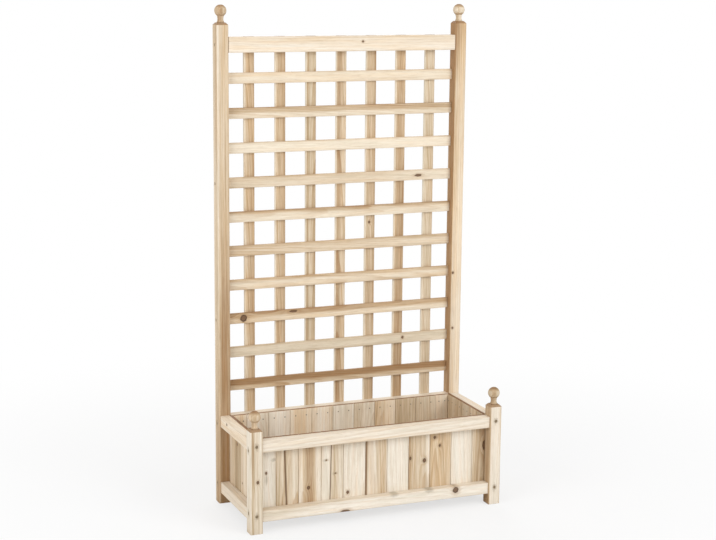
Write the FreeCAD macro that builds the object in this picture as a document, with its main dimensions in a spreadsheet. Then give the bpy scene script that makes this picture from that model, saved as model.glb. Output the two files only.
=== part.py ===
import FreeCAD, Part
import os

import Sketcher

# A floor planter of softwood with a tall slatted trellis between its two rear posts.
# Millimetres, +Z up, -Y is the front. The origin is on the floor under the middle of the four posts.

SIZES = [
    ("width_overall", 720, "over the outer faces of the posts"),
    ("depth_overall", 302, "over the outer faces of the posts"),
    ("front_post_height", 281, "floor to flat top, without the finial"),
    ("rear_post_height", 1302, "floor to flat top, without the finial"),
    ("post_side", 34, "square section of all four posts"),
    ("post_edge_round", 3, "radius on the long edges of a post"),
    ("post_top_bevel", 6, "bevel round the top of a post"),
    ("rail_height", 31, "rails of the planter box"),
    ("rail_thickness", 25, "all rails"),
    ("rail_edge_ease", 1.5, "long edges of a rail"),
    ("bottom_rail_base", 30, "floor to the underside of the bottom rails"),
    ("top_rail_drop", 33, "top of the front posts to the rim of the box"),
    ("trellis_rail_height", 41, "rail across the top of the trellis"),
    ("trellis_rail_drop", 37, "top of the rear posts to the top of the trellis rail"),
    ("slat_width", 29, "trellis slats and uprights"),
    ("slat_thickness", 9, "trellis slats and uprights"),
    ("slat_edge_ease", 1, "long edges of a slat"),
    ("slat_first_gap", 63.5, "rim of the box to the lowest slat"),
    ("slat_last_gap", 52.8, "highest slat to the trellis rail"),
    ("slat_count", 10, "trellis slats"),
    ("upright_end_gap", 49, "post to the nearest upright"),
    ("upright_count", 7, "trellis uprights"),
    ("board_thickness", 9, "upright boards of the box"),
    ("board_count", 11, "front boards, and as many at the back, cut ones at both ends included"),
    ("board_first", 46, "cut board at the left end of the front, with its joint"),
    ("board_last", 39, "cut board at the right end of the front, with its joint"),
    ("side_board_count", 5, "boards in a side, the cut one at the front included"),
    ("side_board_first", 37, "cut board at the front of a side, with its joint"),
    ("board_gap", 0.5, "open joint between boards"),
    ("board_edge_ease", 0.8, "long edges of a board"),
    ("bearer_side", 20, "square strips that carry the floor"),
    ("floor_slat_width", 63, "floor slats"),
    ("floor_slat_thickness", 9, "floor slats"),
    ("floor_slat_count", 9, "floor slats"),
    ("floor_end_gap", 1, "floor slat end to board"),
    ("finial_height", 46, "turned knob above the post"),
    ("finial_ball_radius", 16, "ball of the knob"),
    ("finial_ball_lift", 30.5, "middle of the ball above the post"),
    ("finial_neck_radius", 9.2, "where the neck meets the ball"),
    ("finial_cove_radius", 18, "hollow of the neck"),
    ("finial_foot_radius", 10, "foot of the knob"),
    ("finial_foot_height", 2.5, "foot of the knob"),
    ("dowel_radius", 4, "finial dowel"),
    ("dowel_length", 30, "finial dowel, half in the post"),
    ("screw_head_radius", 4, "countersunk rail screw"),
    ("screw_radius", 2, "countersunk rail screw"),
    ("screw_rim", 0.5, "countersunk rail screw"),
    ("screw_length", 60, "countersunk rail screw"),
    ("screw_sink", 0.5, "head below the face of the post"),
    ("screw_point", 5, "cone at the tip"),
    ("screw_lift", 3, "screws along Y, above the middle of a rail"),
    ("screw_shift", 9, "screws along X, from the middle of a rail"),
    ("bearer_screw_length", 40, "countersunk screw through a bearer"),
    ("bearer_screw_lift", 6, "above the underside of a bearer"),
    ("nail_head_radius", 2, "flat head nail"),
    ("nail_head_thickness", 0.8, "flat head nail"),
    ("nail_radius", 0.8, "flat head nail"),
    ("nail_point", 2, "cone at the tip"),
    ("nail_length", 22, "board into rail"),
    ("nail_drop", 3, "board nails, below the middle of a rail"),
    ("short_nail_length", 16, "upright into slat"),
    ("bore_clearance", 0.05, "bore round a screw, nail or dowel"),
]

SCREWED_SLATS = (3, 7)  # trellis slats, counted from the lowest, that are screwed through the posts
TINY = 1e-6
H_AXIS, V_AXIS = -1, -2  # a sketch's own axes, as its constraints number them

doc = FreeCAD.newDocument("planter_with_trellis")
sheet = doc.addObject("Spreadsheet::Sheet", "sizes")
for row, (alias, number, note) in enumerate(SIZES, 1):
    sheet.set(f"A{row}", note)
    sheet.set(f"B{row}", str(number))
    sheet.setAlias(f"B{row}", alias)
doc.recompute()

pieces = {}


def value(expression):
    """The number that an expression of named sizes stands for."""
    return float(sheet.evalExpression(expression))


# Where faces lie, as expressions of the named sizes.
HALF_WIDTH = "sizes.width_overall / 2"
HALF_DEPTH = "sizes.depth_overall / 2"
POST_INNER_X = f"({HALF_WIDTH} - sizes.post_side)"
POST_INNER_Y = f"({HALF_DEPTH} - sizes.post_side)"
CLEAR_WIDTH = "(sizes.width_overall - 2 * sizes.post_side)"
CLEAR_DEPTH = "(sizes.depth_overall - 2 * sizes.post_side)"
RAIL_INSET = "(sizes.post_side - sizes.rail_thickness) / 2"
RAIL_INNER_X = f"({HALF_WIDTH} - {RAIL_INSET} - sizes.rail_thickness)"
RAIL_INNER_Y = f"({HALF_DEPTH} - {RAIL_INSET} - sizes.rail_thickness)"
BOX_INNER_X = f"({RAIL_INNER_X} - sizes.board_thickness)"
BOX_FRONT_Y = f"(-{RAIL_INNER_Y} + sizes.board_thickness)"
BOX_BACK_Y = f"({POST_INNER_Y} - sizes.board_thickness)"
BOX_LEFT = f"(-{BOX_INNER_X} + sizes.board_gap)"
BOX_WIDTH = f"(2 * {BOX_INNER_X} - 2 * sizes.board_gap)"
RIM = "(sizes.front_post_height - sizes.top_rail_drop)"
TOP_RAIL_BASE = f"({RIM} - sizes.rail_height)"
BOARD_HEIGHT = f"({RIM} - sizes.bottom_rail_base)"
BOARD_PITCH = f"(({CLEAR_WIDTH} - sizes.board_first - sizes.board_last) / (sizes.board_count - 2))"
BACK_END = f"(({BOX_WIDTH} - (sizes.board_count - 2) * {BOARD_PITCH}) / 2)"
SIDE_START = f"({BOX_FRONT_Y} + sizes.board_gap)"
SIDE_PITCH = f"(({POST_INNER_Y} - {SIDE_START} - sizes.side_board_first) / (sizes.side_board_count - 1))"
TRELLIS_TOP = "(sizes.rear_post_height - sizes.trellis_rail_drop)"
TRELLIS_RAIL_BASE = f"({TRELLIS_TOP} - sizes.trellis_rail_height)"
SLAT_FIRST_BASE = f"({RIM} + sizes.slat_first_gap)"
SLAT_RISE = f"({TRELLIS_RAIL_BASE} - sizes.slat_last_gap - sizes.slat_width - {SLAT_FIRST_BASE})"
SLAT_PITCH = f"({SLAT_RISE} / (sizes.slat_count - 1))"
UPRIGHT_SPREAD = f"({CLEAR_WIDTH} - 2 * sizes.upright_end_gap - sizes.slat_width)"
UPRIGHT_PITCH = f"({UPRIGHT_SPREAD} / (sizes.upright_count - 1))"
UPRIGHT_FRONT_Y = f"({POST_INNER_Y} + sizes.rail_thickness)"
UPRIGHT_BACK_Y = f"({UPRIGHT_FRONT_Y} + sizes.slat_thickness)"
SLAT_FRONT_Y = f"({UPRIGHT_FRONT_Y} - sizes.slat_thickness)"
FLOOR_BASE = "(sizes.bottom_rail_base + sizes.bearer_side)"
FLOOR_TOP = f"({FLOOR_BASE} + sizes.floor_slat_thickness)"
FLOOR_SPARE = f"({BOX_WIDTH} - sizes.floor_slat_count * sizes.floor_slat_width)"
FLOOR_SPACE = f"({FLOOR_SPARE} / (sizes.floor_slat_count + 1))"
FLOOR_PITCH = f"(sizes.floor_slat_width + {FLOOR_SPACE})"


def origin_plane(body, role):
    """One of a body's own three origin planes."""
    return next(plane for plane in body.Origin.OriginFeatures if plane.Role == role)


def new_sketch(body, plane):
    """An empty sketch on one of a body's origin planes."""
    sketch = body.newObject("Sketcher::SketchObject", f"{body.Name}_outline")
    sketch.AttachmentSupport = (origin_plane(body, plane), [""])
    sketch.MapMode = "FlatFace"
    return sketch


def bind(sketch, kind, points, expression):
    """A dimension of a sketch that follows an expression of named sizes."""
    number = sketch.addConstraint(Sketcher.Constraint(kind, *points, value(expression)))
    name = f"{kind}_{number}"
    sketch.renameConstraint(number, name)
    sketch.setExpression(f"Constraints.{name}", expression)


def outline_sketch(body, plane, corners):
    """A closed outline of straight edges whose corners are pairs of expressions."""
    sketch = new_sketch(body, plane)
    points = [FreeCAD.Vector(value(across), value(up), 0) for across, up in corners]
    for start, end in zip(points, points[1:] + points[:1]):
        sketch.addGeometry(Part.LineSegment(start, end))
    for index, (across, up) in enumerate(corners):
        before = (index - 1) % len(corners)
        sketch.addConstraint(Sketcher.Constraint("Coincident", before, 2, index, 1))
        for kind, axis, expression in (("DistanceX", V_AXIS, across), ("DistanceY", H_AXIS, up)):
            if expression == "0":
                sketch.addConstraint(Sketcher.Constraint("PointOnObject", index, 1, axis))
            else:
                bind(sketch, kind, (H_AXIS, 1, index, 1), expression)
    return sketch


def move_to(body, place):
    """Binds a body's place to three expressions."""
    for axis, expression in zip("xyz", place):
        body.setExpression(f"Placement.Base.{axis}", expression)


def edges_along(shape, direction):
    """Names of the straight edges that run along a direction."""
    names = []
    for number, edge in enumerate(shape.Edges, 1):
        run = edge.Vertexes[-1].Point - edge.Vertexes[0].Point
        if run.Length > TINY and run.cross(direction).Length < TINY * run.Length:
            names.append(f"Edge{number}")
    return names


def edges_on_top(shape):
    """Names of the edges round the highest face."""
    level = shape.BoundBox.ZMax - TINY
    return [f"Edge{number}" for number, edge in enumerate(shape.Edges, 1) if edge.BoundBox.ZMin > level]


def dress(body, kind, base, edges, setting, expression):
    """A chamfer or fillet on named edges of a feature."""
    feature = body.newObject(f"PartDesign::{kind}", f"{body.Name}_{kind.lower()}")
    feature.Base = (base, edges)
    feature.setExpression(setting, expression)
    doc.recompute()
    return feature


def stick(name, along, size, place, ease):
    """A straight piece of timber, drawn out along X, Y or Z from a rectangle, with its long edges eased."""
    body = doc.addObject("PartDesign::Body", f"{name}_blank")
    across, up, length = {"X": (1, 2, 0), "Y": (0, 2, 1), "Z": (0, 1, 2)}[along]
    plane = {"X": "YZ_Plane", "Y": "XZ_Plane", "Z": "XY_Plane"}[along]
    corners = [("0", "0"), (size[across], "0"), (size[across], size[up]), ("0", size[up])]
    sketch = outline_sketch(body, plane, corners)
    pad = body.newObject("PartDesign::Pad", f"{name}_pad")
    pad.Profile = sketch
    pad.Reversed = along == "Y"
    pad.setExpression("Length", size[length])
    doc.recompute()
    direction = FreeCAD.Vector(along == "X", along == "Y", along == "Z")
    dress(body, "Chamfer", pad, edges_along(pad.Shape, direction), "Size", ease)
    move_to(body, place)
    return body


def post(name, height, place):
    """A square post with a bevel round its top and rounded long edges."""
    body = doc.addObject("PartDesign::Body", f"{name}_blank")
    side = "sizes.post_side"
    sketch = outline_sketch(body, "XY_Plane", [("0", "0"), (side, "0"), (side, side), ("0", side)])
    pad = body.newObject("PartDesign::Pad", f"{name}_pad")
    pad.Profile = sketch
    pad.setExpression("Length", height)
    doc.recompute()
    bevel = dress(body, "Chamfer", pad, edges_on_top(pad.Shape), "Size", "sizes.post_top_bevel")
    upright = edges_along(bevel.Shape, FreeCAD.Vector(0, 0, 1))
    dress(body, "Fillet", bevel, upright, "Radius", "sizes.post_edge_round")
    move_to(body, place)
    return body


def turned(name, corners):
    """A round piece: an outline of radius and height, turned about +Z."""
    body = doc.addObject("PartDesign::Body", name)
    sketch = outline_sketch(body, "XZ_Plane", corners)
    turn = body.newObject("PartDesign::Revolution", f"{name}_turn")
    turn.Profile = sketch
    turn.ReferenceAxis = (sketch, ["V_Axis"])
    doc.recompute()
    return body


def finial(name, place):
    """A turned knob: a ball with a small flat on top, a hollow neck and a low foot."""
    body = doc.addObject("PartDesign::Body", f"{name}_blank")
    sketch = new_sketch(body, "XZ_Plane")
    ball, lift = value("sizes.finial_ball_radius"), value("sizes.finial_ball_lift")
    top, neck = value("sizes.finial_height"), value("sizes.finial_neck_radius")
    foot, step = value("sizes.finial_foot_radius"), value("sizes.finial_foot_height")
    cove = value("sizes.finial_cove_radius")
    flat = (ball ** 2 - (top - lift) ** 2) ** 0.5
    meet = lift - (ball ** 2 - neck ** 2) ** 0.5
    rounds = [(0, 0), (0, top), (flat, top), (neck, meet), (foot, step), (foot, 0)]
    base, crown, rim, throat, ledge, heel = [FreeCAD.Vector(across, up, 0) for across, up in rounds]
    chord = throat - ledge
    inward = FreeCAD.Vector(-chord.y, chord.x, 0).normalize()
    sag = cove - (cove ** 2 - chord.Length ** 2 / 4) ** 0.5
    hollow = (throat + ledge) / 2 + inward * sag
    for piece in (
        Part.LineSegment(base, crown),
        Part.LineSegment(crown, rim),
        Part.Arc(throat, FreeCAD.Vector(ball, lift, 0), rim),
        Part.Arc(throat, hollow, ledge),
        Part.LineSegment(ledge, heel),
        Part.LineSegment(heel, base),
    ):
        sketch.addGeometry(piece)
    axle, flat_top, ball_arc, cove_arc, foot_side, foot_base = range(6)
    for joint in (
        (axle, 1, H_AXIS, 1),
        (axle, 2, flat_top, 1),
        (flat_top, 2, ball_arc, 2),
        (ball_arc, 1, cove_arc, 1),
        (cove_arc, 2, foot_side, 1),
        (foot_side, 2, foot_base, 1),
        (foot_base, 2, axle, 1),
    ):
        sketch.addConstraint(Sketcher.Constraint("Coincident", *joint))
    sketch.addConstraint(Sketcher.Constraint("PointOnObject", axle, 2, V_AXIS))
    sketch.addConstraint(Sketcher.Constraint("PointOnObject", ball_arc, 3, V_AXIS))
    sketch.addConstraint(Sketcher.Constraint("Horizontal", flat_top))
    sketch.addConstraint(Sketcher.Constraint("Horizontal", foot_base))
    sketch.addConstraint(Sketcher.Constraint("Vertical", foot_side))
    bind(sketch, "DistanceY", (H_AXIS, 1, axle, 2), "sizes.finial_height")
    bind(sketch, "DistanceY", (H_AXIS, 1, ball_arc, 3), "sizes.finial_ball_lift")
    bind(sketch, "Radius", (ball_arc,), "sizes.finial_ball_radius")
    bind(sketch, "DistanceX", (H_AXIS, 1, ball_arc, 1), "sizes.finial_neck_radius")
    bind(sketch, "Radius", (cove_arc,), "sizes.finial_cove_radius")
    bind(sketch, "DistanceX", (H_AXIS, 1, foot_side, 2), "sizes.finial_foot_radius")
    bind(sketch, "DistanceY", (H_AXIS, 1, foot_side, 1), "sizes.finial_foot_height")
    turn = body.newObject("PartDesign::Revolution", f"{name}_turn")
    turn.Profile = sketch
    turn.ReferenceAxis = (sketch, ["V_Axis"])
    doc.recompute()
    move_to(body, place)
    return body


def fastener(name, head, rim, taper, shank, length, point, over):
    """A screw or nail that points down -Z from its head at the origin, and the wider bore for it."""
    made = []
    for label, grow, top in ((name, "0", "0"), (f"{name}_bore", "sizes.bore_clearance", over)):
        corners = [
            ("0", top),
            (f"{head} + {grow}", top),
            (f"{head} + {grow}", f"-({rim})"),
            (f"{shank} + {grow}", f"-({rim} + {taper})"),
            (f"{shank} + {grow}", f"-({length} - {point})"),
            ("0", f"-({length} + {grow})"),
        ]
        made.append(turned(label, corners))
    return made


def at(across, back, up):
    """The point that three expressions stand for."""
    return FreeCAD.Vector(value(across), value(back), value(up))


def run_of_boards(first, pitch, last, count):
    """Start and width of boards side by side, whole ones between two that may be cut."""
    starts = ["0"] + [f"({first} + {index} * {pitch})" for index in range(count - 1)]
    return zip(starts, [first] + [pitch] * (count - 2) + [last])


def scatter(name, fasteners, spots):
    """Copies of a fastener at its spots, as one group of separate solids, and their bores."""
    master, bore = fasteners
    copies = []
    for point, inward in spots:
        place = FreeCAD.Placement(point, FreeCAD.Rotation(DOWN, inward)).toMatrix()
        copies.append(master.Shape.transformed(place, True))
        bores.append(bore.Shape.transformed(place, True))
    group = doc.addObject("Part::Feature", name)
    group.Shape = Part.makeCompound(copies)
    pieces[name] = group


def bored(name, blank):
    """A blank with the bores of the screws, nails and dowels that enter it, or the blank itself."""
    near = [bore for bore in bores if bore.BoundBox.intersect(blank.Shape.BoundBox)]
    if not near:
        return blank
    tools = doc.addObject("Part::Feature", f"{name}_bores")
    tools.Shape = Part.makeCompound(near)
    cut = doc.addObject("Part::Cut", f"{name}_bored")
    cut.Base = blank
    cut.Tool = tools
    doc.recompute()
    return cut


# Each blank is made with its fasteners' spots gathered beside it. A piece gets its bores last.
blanks = {}
bores = []
grouped = {}
screw_spots, bearer_screw_spots, nail_spots, short_nail_spots, dowel_spots = [], [], [], [], []
X_WARD, Y_WARD, DOWN = FreeCAD.Vector(1, 0, 0), FreeCAD.Vector(0, 1, 0), FreeCAD.Vector(0, 0, -1)
SIDES = {"left": -1, "right": 1}
ENDS = {"front": -1, "rear": 1}
RAIL_LEVELS = {"bottom": ("sizes.bottom_rail_base", 1), "top": (TOP_RAIL_BASE, -1)}

# Posts, their knobs and the dowels between them.
for end, y_sign in ENDS.items():
    height = f"sizes.{end}_post_height"
    for side, x_sign in SIDES.items():
        corner_x = f"-{HALF_WIDTH}" if x_sign < 0 else POST_INNER_X
        corner_y = f"-{HALF_DEPTH}" if y_sign < 0 else POST_INNER_Y
        middle = (f"({corner_x} + sizes.post_side / 2)", f"({corner_y} + sizes.post_side / 2)", height)
        blanks[f"{end}_{side}_post"] = post(f"{end}_{side}_post", height, (corner_x, corner_y, "0"))
        blanks[f"{end}_{side}_finial"] = finial(f"{end}_{side}_finial", middle)
        dowel_spots.append((at(*middle), DOWN))

# Rails of the box: front and side ones centred on the posts, back ones level with the posts' inner faces.
for level, (base, toward_middle) in RAIL_LEVELS.items():
    middle_up = f"({base} + sizes.rail_height / 2)"
    long_rail = (CLEAR_WIDTH, "sizes.rail_thickness", "sizes.rail_height")
    side_rail = ("sizes.rail_thickness", CLEAR_DEPTH, "sizes.rail_height")
    rails = {
        f"front_{level}_rail": ("X", long_rail, (f"-{POST_INNER_X}", f"-{HALF_DEPTH} + {RAIL_INSET}", base)),
        f"back_{level}_rail": ("X", long_rail, (f"-{POST_INNER_X}", POST_INNER_Y, base)),
        f"left_{level}_rail": ("Y", side_rail, (f"-{HALF_WIDTH} + {RAIL_INSET}", f"-{POST_INNER_Y}", base)),
        f"right_{level}_rail": ("Y", side_rail, (RAIL_INNER_X, f"-{POST_INNER_Y}", base)),
    }
    for name, (along, size, place) in rails.items():
        blanks[name] = stick(name, along, size, place, "sizes.rail_edge_ease")
    for x_sign in SIDES.values():
        for y_sign in ENDS.values():
            post_x = f"{x_sign} * ({HALF_WIDTH} - sizes.post_side / 2)"
            post_y = f"{y_sign} * ({HALF_DEPTH} - sizes.post_side / 2)"
            face_x = f"{x_sign} * ({HALF_WIDTH} - sizes.screw_sink)"
            face_y = f"{y_sign} * ({HALF_DEPTH} - sizes.screw_sink)"
            shifted = f"{middle_up} + {toward_middle} * sizes.screw_shift"
            screw_spots.append((at(post_x, face_y, f"{middle_up} + sizes.screw_lift"), Y_WARD * -y_sign))
            screw_spots.append((at(face_x, post_y, shifted), X_WARD * -x_sign))

# Trellis: a rail across the top, uprights on the back of the rails, and slats in front of the uprights.
trellis_rail = (CLEAR_WIDTH, "sizes.rail_thickness", "sizes.trellis_rail_height")
trellis_place = (f"-{POST_INNER_X}", POST_INNER_Y, TRELLIS_RAIL_BASE)
top_rail = stick("trellis_top_rail", "X", trellis_rail, trellis_place, "sizes.rail_edge_ease")
blanks["trellis_top_rail"] = top_rail
slat_count = int(value("sizes.slat_count"))
slat_bases = [f"({SLAT_FIRST_BASE} + {index} * {SLAT_PITCH})" for index in range(slat_count)]
for number, base in enumerate(slat_bases, 1):
    size = (CLEAR_WIDTH, "sizes.slat_thickness", "sizes.slat_width")
    name = f"trellis_slat_{number:02d}"
    blanks[name] = stick(name, "X", size, (f"-{POST_INNER_X}", SLAT_FRONT_Y, base), "sizes.slat_edge_ease")
upright_count = int(value("sizes.upright_count"))
nailed_rails = (f"{TOP_RAIL_BASE} + sizes.rail_height / 2", f"{TRELLIS_TOP} - sizes.trellis_rail_height / 2")
for index in range(upright_count):
    middle_x = f"({index - (upright_count - 1) / 2} * {UPRIGHT_PITCH})"
    size = ("sizes.slat_width", "sizes.slat_thickness", f"({TRELLIS_TOP} - {TOP_RAIL_BASE})")
    place = (f"{middle_x} - sizes.slat_width / 2", UPRIGHT_FRONT_Y, TOP_RAIL_BASE)
    name = f"trellis_upright_{index + 1}"
    blanks[name] = stick(name, "Z", size, place, "sizes.slat_edge_ease")
    for base in slat_bases:
        short_nail_spots.append((at(middle_x, UPRIGHT_BACK_Y, f"{base} + sizes.slat_width / 2"), -Y_WARD))
    for level in nailed_rails:
        nail_spots.append((at(middle_x, UPRIGHT_BACK_Y, level), -Y_WARD))
screwed_levels = [f"{slat_bases[number - 1]} + sizes.slat_width / 2" for number in SCREWED_SLATS]
for x_sign in SIDES.values():
    face_x = f"{x_sign} * ({HALF_WIDTH} - sizes.screw_sink)"
    rail_spot = at(face_x, f"{HALF_DEPTH} - sizes.post_side / 2", nailed_rails[1])
    screw_spots.append((rail_spot, X_WARD * -x_sign))
    for level in screwed_levels:
        slat_spot = at(face_x, f"{SLAT_FRONT_Y} + sizes.slat_thickness / 2", level)
        screw_spots.append((slat_spot, X_WARD * -x_sign))

# Upright boards on the inner faces of the rails, nailed from inside the box.
board_count = int(value("sizes.board_count"))
side_board_count = int(value("sizes.side_board_count"))
front_run = ("sizes.board_first", BOARD_PITCH, "sizes.board_last", board_count)
back_run = (BACK_END, BOARD_PITCH, BACK_END, board_count)
side_run = ("sizes.side_board_first", SIDE_PITCH, SIDE_PITCH, side_board_count)
WALLS = {
    "front": ("X", front_run, f"-{POST_INNER_X}", f"-{RAIL_INNER_Y}"),
    "back": ("X", back_run, BOX_LEFT, BOX_BACK_Y),
    "left": ("Y", side_run, SIDE_START, f"-{RAIL_INNER_X}"),
    "right": ("Y", side_run, SIDE_START, BOX_INNER_X),
}
INNER_FACES = {
    "front": (BOX_FRONT_Y, -Y_WARD),
    "back": (BOX_BACK_Y, Y_WARD),
    "left": (f"-{BOX_INNER_X}", -X_WARD),
    "right": (BOX_INNER_X, X_WARD),
}
for wall, (along, run, origin, face) in WALLS.items():
    inner_face, outward = INNER_FACES[wall]
    for number, (start, width) in enumerate(run_of_boards(*run), 1):
        begin = f"({origin} + {start})"
        name = f"{wall}_board_{number:02d}"
        if along == "X":
            size = (f"({width} - sizes.board_gap)", "sizes.board_thickness", BOARD_HEIGHT)
            place = (begin, face, "sizes.bottom_rail_base")
        else:
            size = ("sizes.board_thickness", f"({width} - sizes.board_gap)", BOARD_HEIGHT)
            place = (face, begin, "sizes.bottom_rail_base")
        blanks[name] = stick(name, "Z", size, place, "sizes.board_edge_ease")
        if wall != "front":
            grouped[name] = f"{wall}_boards"
        for base, _ in RAIL_LEVELS.values():
            level = f"{base} + sizes.rail_height / 2 - sizes.nail_drop"
            for share in (1, 3):
                nail_line = f"{begin} + {share} * ({width} - sizes.board_gap) / 4"
                point = (nail_line, inner_face) if along == "X" else (inner_face, nail_line)
                spot = at(*point, level)
                nail_spots.append((spot, outward))

# Floor: two bearers along the front and back boards, and slats laid across them.
BEARER_RUNS = {"front": (BOX_FRONT_Y, 1), "back": (f"({BOX_BACK_Y} - sizes.bearer_side)", -1)}
floor_slat_count = int(value("sizes.floor_slat_count"))
for wall, (near_y, inward) in BEARER_RUNS.items():
    name = f"{wall}_bearer"
    size = (BOX_WIDTH, "sizes.bearer_side", "sizes.bearer_side")
    place = (BOX_LEFT, near_y, "sizes.bottom_rail_base")
    blanks[name] = stick(name, "X", size, place, "sizes.rail_edge_ease")
    middle_y = f"({near_y} + sizes.bearer_side / 2)"
    head_y = f"{middle_y} + {inward} * (sizes.bearer_side / 2 - sizes.screw_sink)"
    for index in range(1, floor_slat_count, 2):
        gap_x = f"{BOX_LEFT} + {index} * {FLOOR_PITCH} + {FLOOR_SPACE} / 2"
        head = at(gap_x, head_y, "sizes.bottom_rail_base + sizes.bearer_screw_lift")
        bearer_screw_spots.append((head, Y_WARD * -inward))
    for index in range(floor_slat_count):
        middle_x = f"{BOX_LEFT} + {FLOOR_SPACE} + {index} * {FLOOR_PITCH} + sizes.floor_slat_width / 2"
        nail_spots.append((at(middle_x, middle_y, FLOOR_TOP), DOWN))
for index in range(floor_slat_count):
    name = f"floor_slat_{index + 1}"
    length = f"({BOX_BACK_Y} - {BOX_FRONT_Y} - 2 * sizes.floor_end_gap)"
    size = ("sizes.floor_slat_width", length, "sizes.floor_slat_thickness")
    begin = f"{BOX_LEFT} + {FLOOR_SPACE} + {index} * {FLOOR_PITCH}"
    place = (begin, f"{BOX_FRONT_Y} + sizes.floor_end_gap", FLOOR_BASE)
    blanks[name] = stick(name, "Y", size, place, "sizes.slat_edge_ease")
    grouped[name] = "floor_slats"

# Fasteners. A screw's taper runs at 45 degrees from the head to the shank.
TAPER = "(sizes.screw_head_radius - sizes.screw_radius)"
screw_form = ("sizes.screw_head_radius", "sizes.screw_rim", TAPER, "sizes.screw_radius")
nail_form = ("sizes.nail_head_radius", "sizes.nail_head_thickness", "0", "sizes.nail_radius")
screw_end = ("sizes.screw_point", "sizes.screw_sink")
nail_end = ("sizes.nail_point", "0")
rail_screw = fastener("rail_screw", *screw_form, "sizes.screw_length", *screw_end)
bearer_screw = fastener("bearer_screw", *screw_form, "sizes.bearer_screw_length", *screw_end)
nail = fastener("nail", *nail_form, "sizes.nail_length", *nail_end)
short_nail = fastener("short_nail", *nail_form, "sizes.short_nail_length", *nail_end)
dowel = []
for label, radius, reach in (
    ("dowel", "sizes.dowel_radius", "sizes.dowel_length / 2"),
    ("dowel_bore", "sizes.dowel_radius + sizes.bore_clearance", "sizes.dowel_length / 2 + sizes.screw_rim"),
):
    outline = [("0", reach), (radius, reach), (radius, f"-({reach})"), ("0", f"-({reach})")]
    dowel.append(turned(label, outline))
scatter("rail_screws", rail_screw, screw_spots)
scatter("bearer_screws", bearer_screw, bearer_screw_spots)
scatter("board_nails", nail, nail_spots)
scatter("trellis_nails", short_nail, short_nail_spots)
scatter("finial_dowels", dowel, dowel_spots)

# Every blank gets its bores. The back, side and floor boards are then gathered into one node a wall.
members = {}
for name, blank in blanks.items():
    piece = bored(name, blank)
    if name in grouped:
        members.setdefault(grouped[name], []).append(piece)
    else:
        pieces[name] = piece
for name, made in members.items():
    group = doc.addObject("Part::Compound", f"{name}_group")
    group.Links = made
    pieces[name] = group
doc.recompute()

for name, piece in pieces.items():
    piece.Label = name
broken = [item.Name for item in doc.Objects if {"Invalid", "Error"} & set(item.State)]
if broken:
    raise RuntimeError(f"these objects did not recompute: {broken}")
os.makedirs("parts", exist_ok=True)
for name, piece in pieces.items():
    shape = piece.Shape
    if shape.isNull() or not shape.isValid() or not shape.Solids:
        raise RuntimeError(f"{name} has no valid shape")
    shape.exportStep(f"parts/{name}.step")
    box = shape.BoundBox
    corners = f"{box.XMin:.1f} {box.YMin:.1f} {box.ZMin:.1f} to {box.XMax:.1f} {box.YMax:.1f} {box.ZMax:.1f}"
    print(f"{name}: {len(shape.Solids)} solids, {shape.Volume / 1000:.2f} cm3, {corners}")
print(f"{len(pieces)} nodes")
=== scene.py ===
"""Looks of a bare softwood floor planter with a trellis between its rear posts.

Every timber is a rounded, slightly uneven stick that stands in for its CAD node. Its wood is procedural: the mesh
carries where each point lay in the tree, so rings, fibres, knots and end grain follow each piece round its corners.
Metres, +Z up, -Y is the front.
"""

import logging
import math
from dataclasses import dataclass, field
from enum import Enum
from typing import Callable, Sequence

import bpy
import numpy as np
from mathutils import Matrix, Vector

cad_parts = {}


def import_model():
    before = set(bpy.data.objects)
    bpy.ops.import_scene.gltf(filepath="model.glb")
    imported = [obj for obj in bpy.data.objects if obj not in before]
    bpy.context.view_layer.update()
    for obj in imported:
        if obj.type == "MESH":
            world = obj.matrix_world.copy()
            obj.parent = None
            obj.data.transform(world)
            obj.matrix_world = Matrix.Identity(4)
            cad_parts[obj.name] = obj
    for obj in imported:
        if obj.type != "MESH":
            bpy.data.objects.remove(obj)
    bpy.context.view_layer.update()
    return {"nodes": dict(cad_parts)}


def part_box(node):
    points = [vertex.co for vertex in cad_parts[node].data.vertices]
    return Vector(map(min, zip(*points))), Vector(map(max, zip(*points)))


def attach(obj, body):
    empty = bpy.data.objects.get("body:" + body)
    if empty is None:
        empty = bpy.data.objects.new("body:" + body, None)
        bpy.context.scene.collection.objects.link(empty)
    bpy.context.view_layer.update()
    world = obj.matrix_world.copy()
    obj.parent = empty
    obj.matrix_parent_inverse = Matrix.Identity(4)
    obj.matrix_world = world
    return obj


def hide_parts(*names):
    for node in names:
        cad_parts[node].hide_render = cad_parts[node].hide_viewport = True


LOG = logging.getLogger("planter")
MM = 0.001
FAR = 50.0
WHITE = (1.0, 1.0, 1.0, 1.0)
Colour = tuple[int, int, int]
Point = tuple[float, float, float]
Tree = bpy.types.NodeTree
Faces = list[Sequence[int]]
Shape = tuple[np.ndarray, Faces]
Spot = tuple[np.ndarray, np.ndarray]
Spans = list[tuple[float, float]]


class Along(Enum):
    """The row axis that a stick's length or its wide face runs along."""

    X = 0
    Y = 1
    Z = 2

    def towards(self, sign: float = 1.0) -> np.ndarray:
        """A step along this axis, forwards or back."""
        return np.where(np.arange(3) == self.value, sign, 0.0)


class Tint(Enum):
    """Colours that tint or stain the wood, as a screen shows them."""

    GOLDEN = (255, 234, 200)
    GREY = (222, 222, 212)
    LATE_WOOD = (214, 188, 156)
    FIBRE = (206, 188, 162)
    RESIN = (138, 108, 78)
    SMUDGE = (150, 138, 116)
    KNOT_HALO = (172, 138, 98)
    STREAK = (112, 84, 58)
    KNOT = (104, 74, 50)
    KNOT_RIM = (76, 54, 38)
    END_GRAIN = (196, 170, 144)
    SCREW_STAIN = (150, 132, 106)


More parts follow.
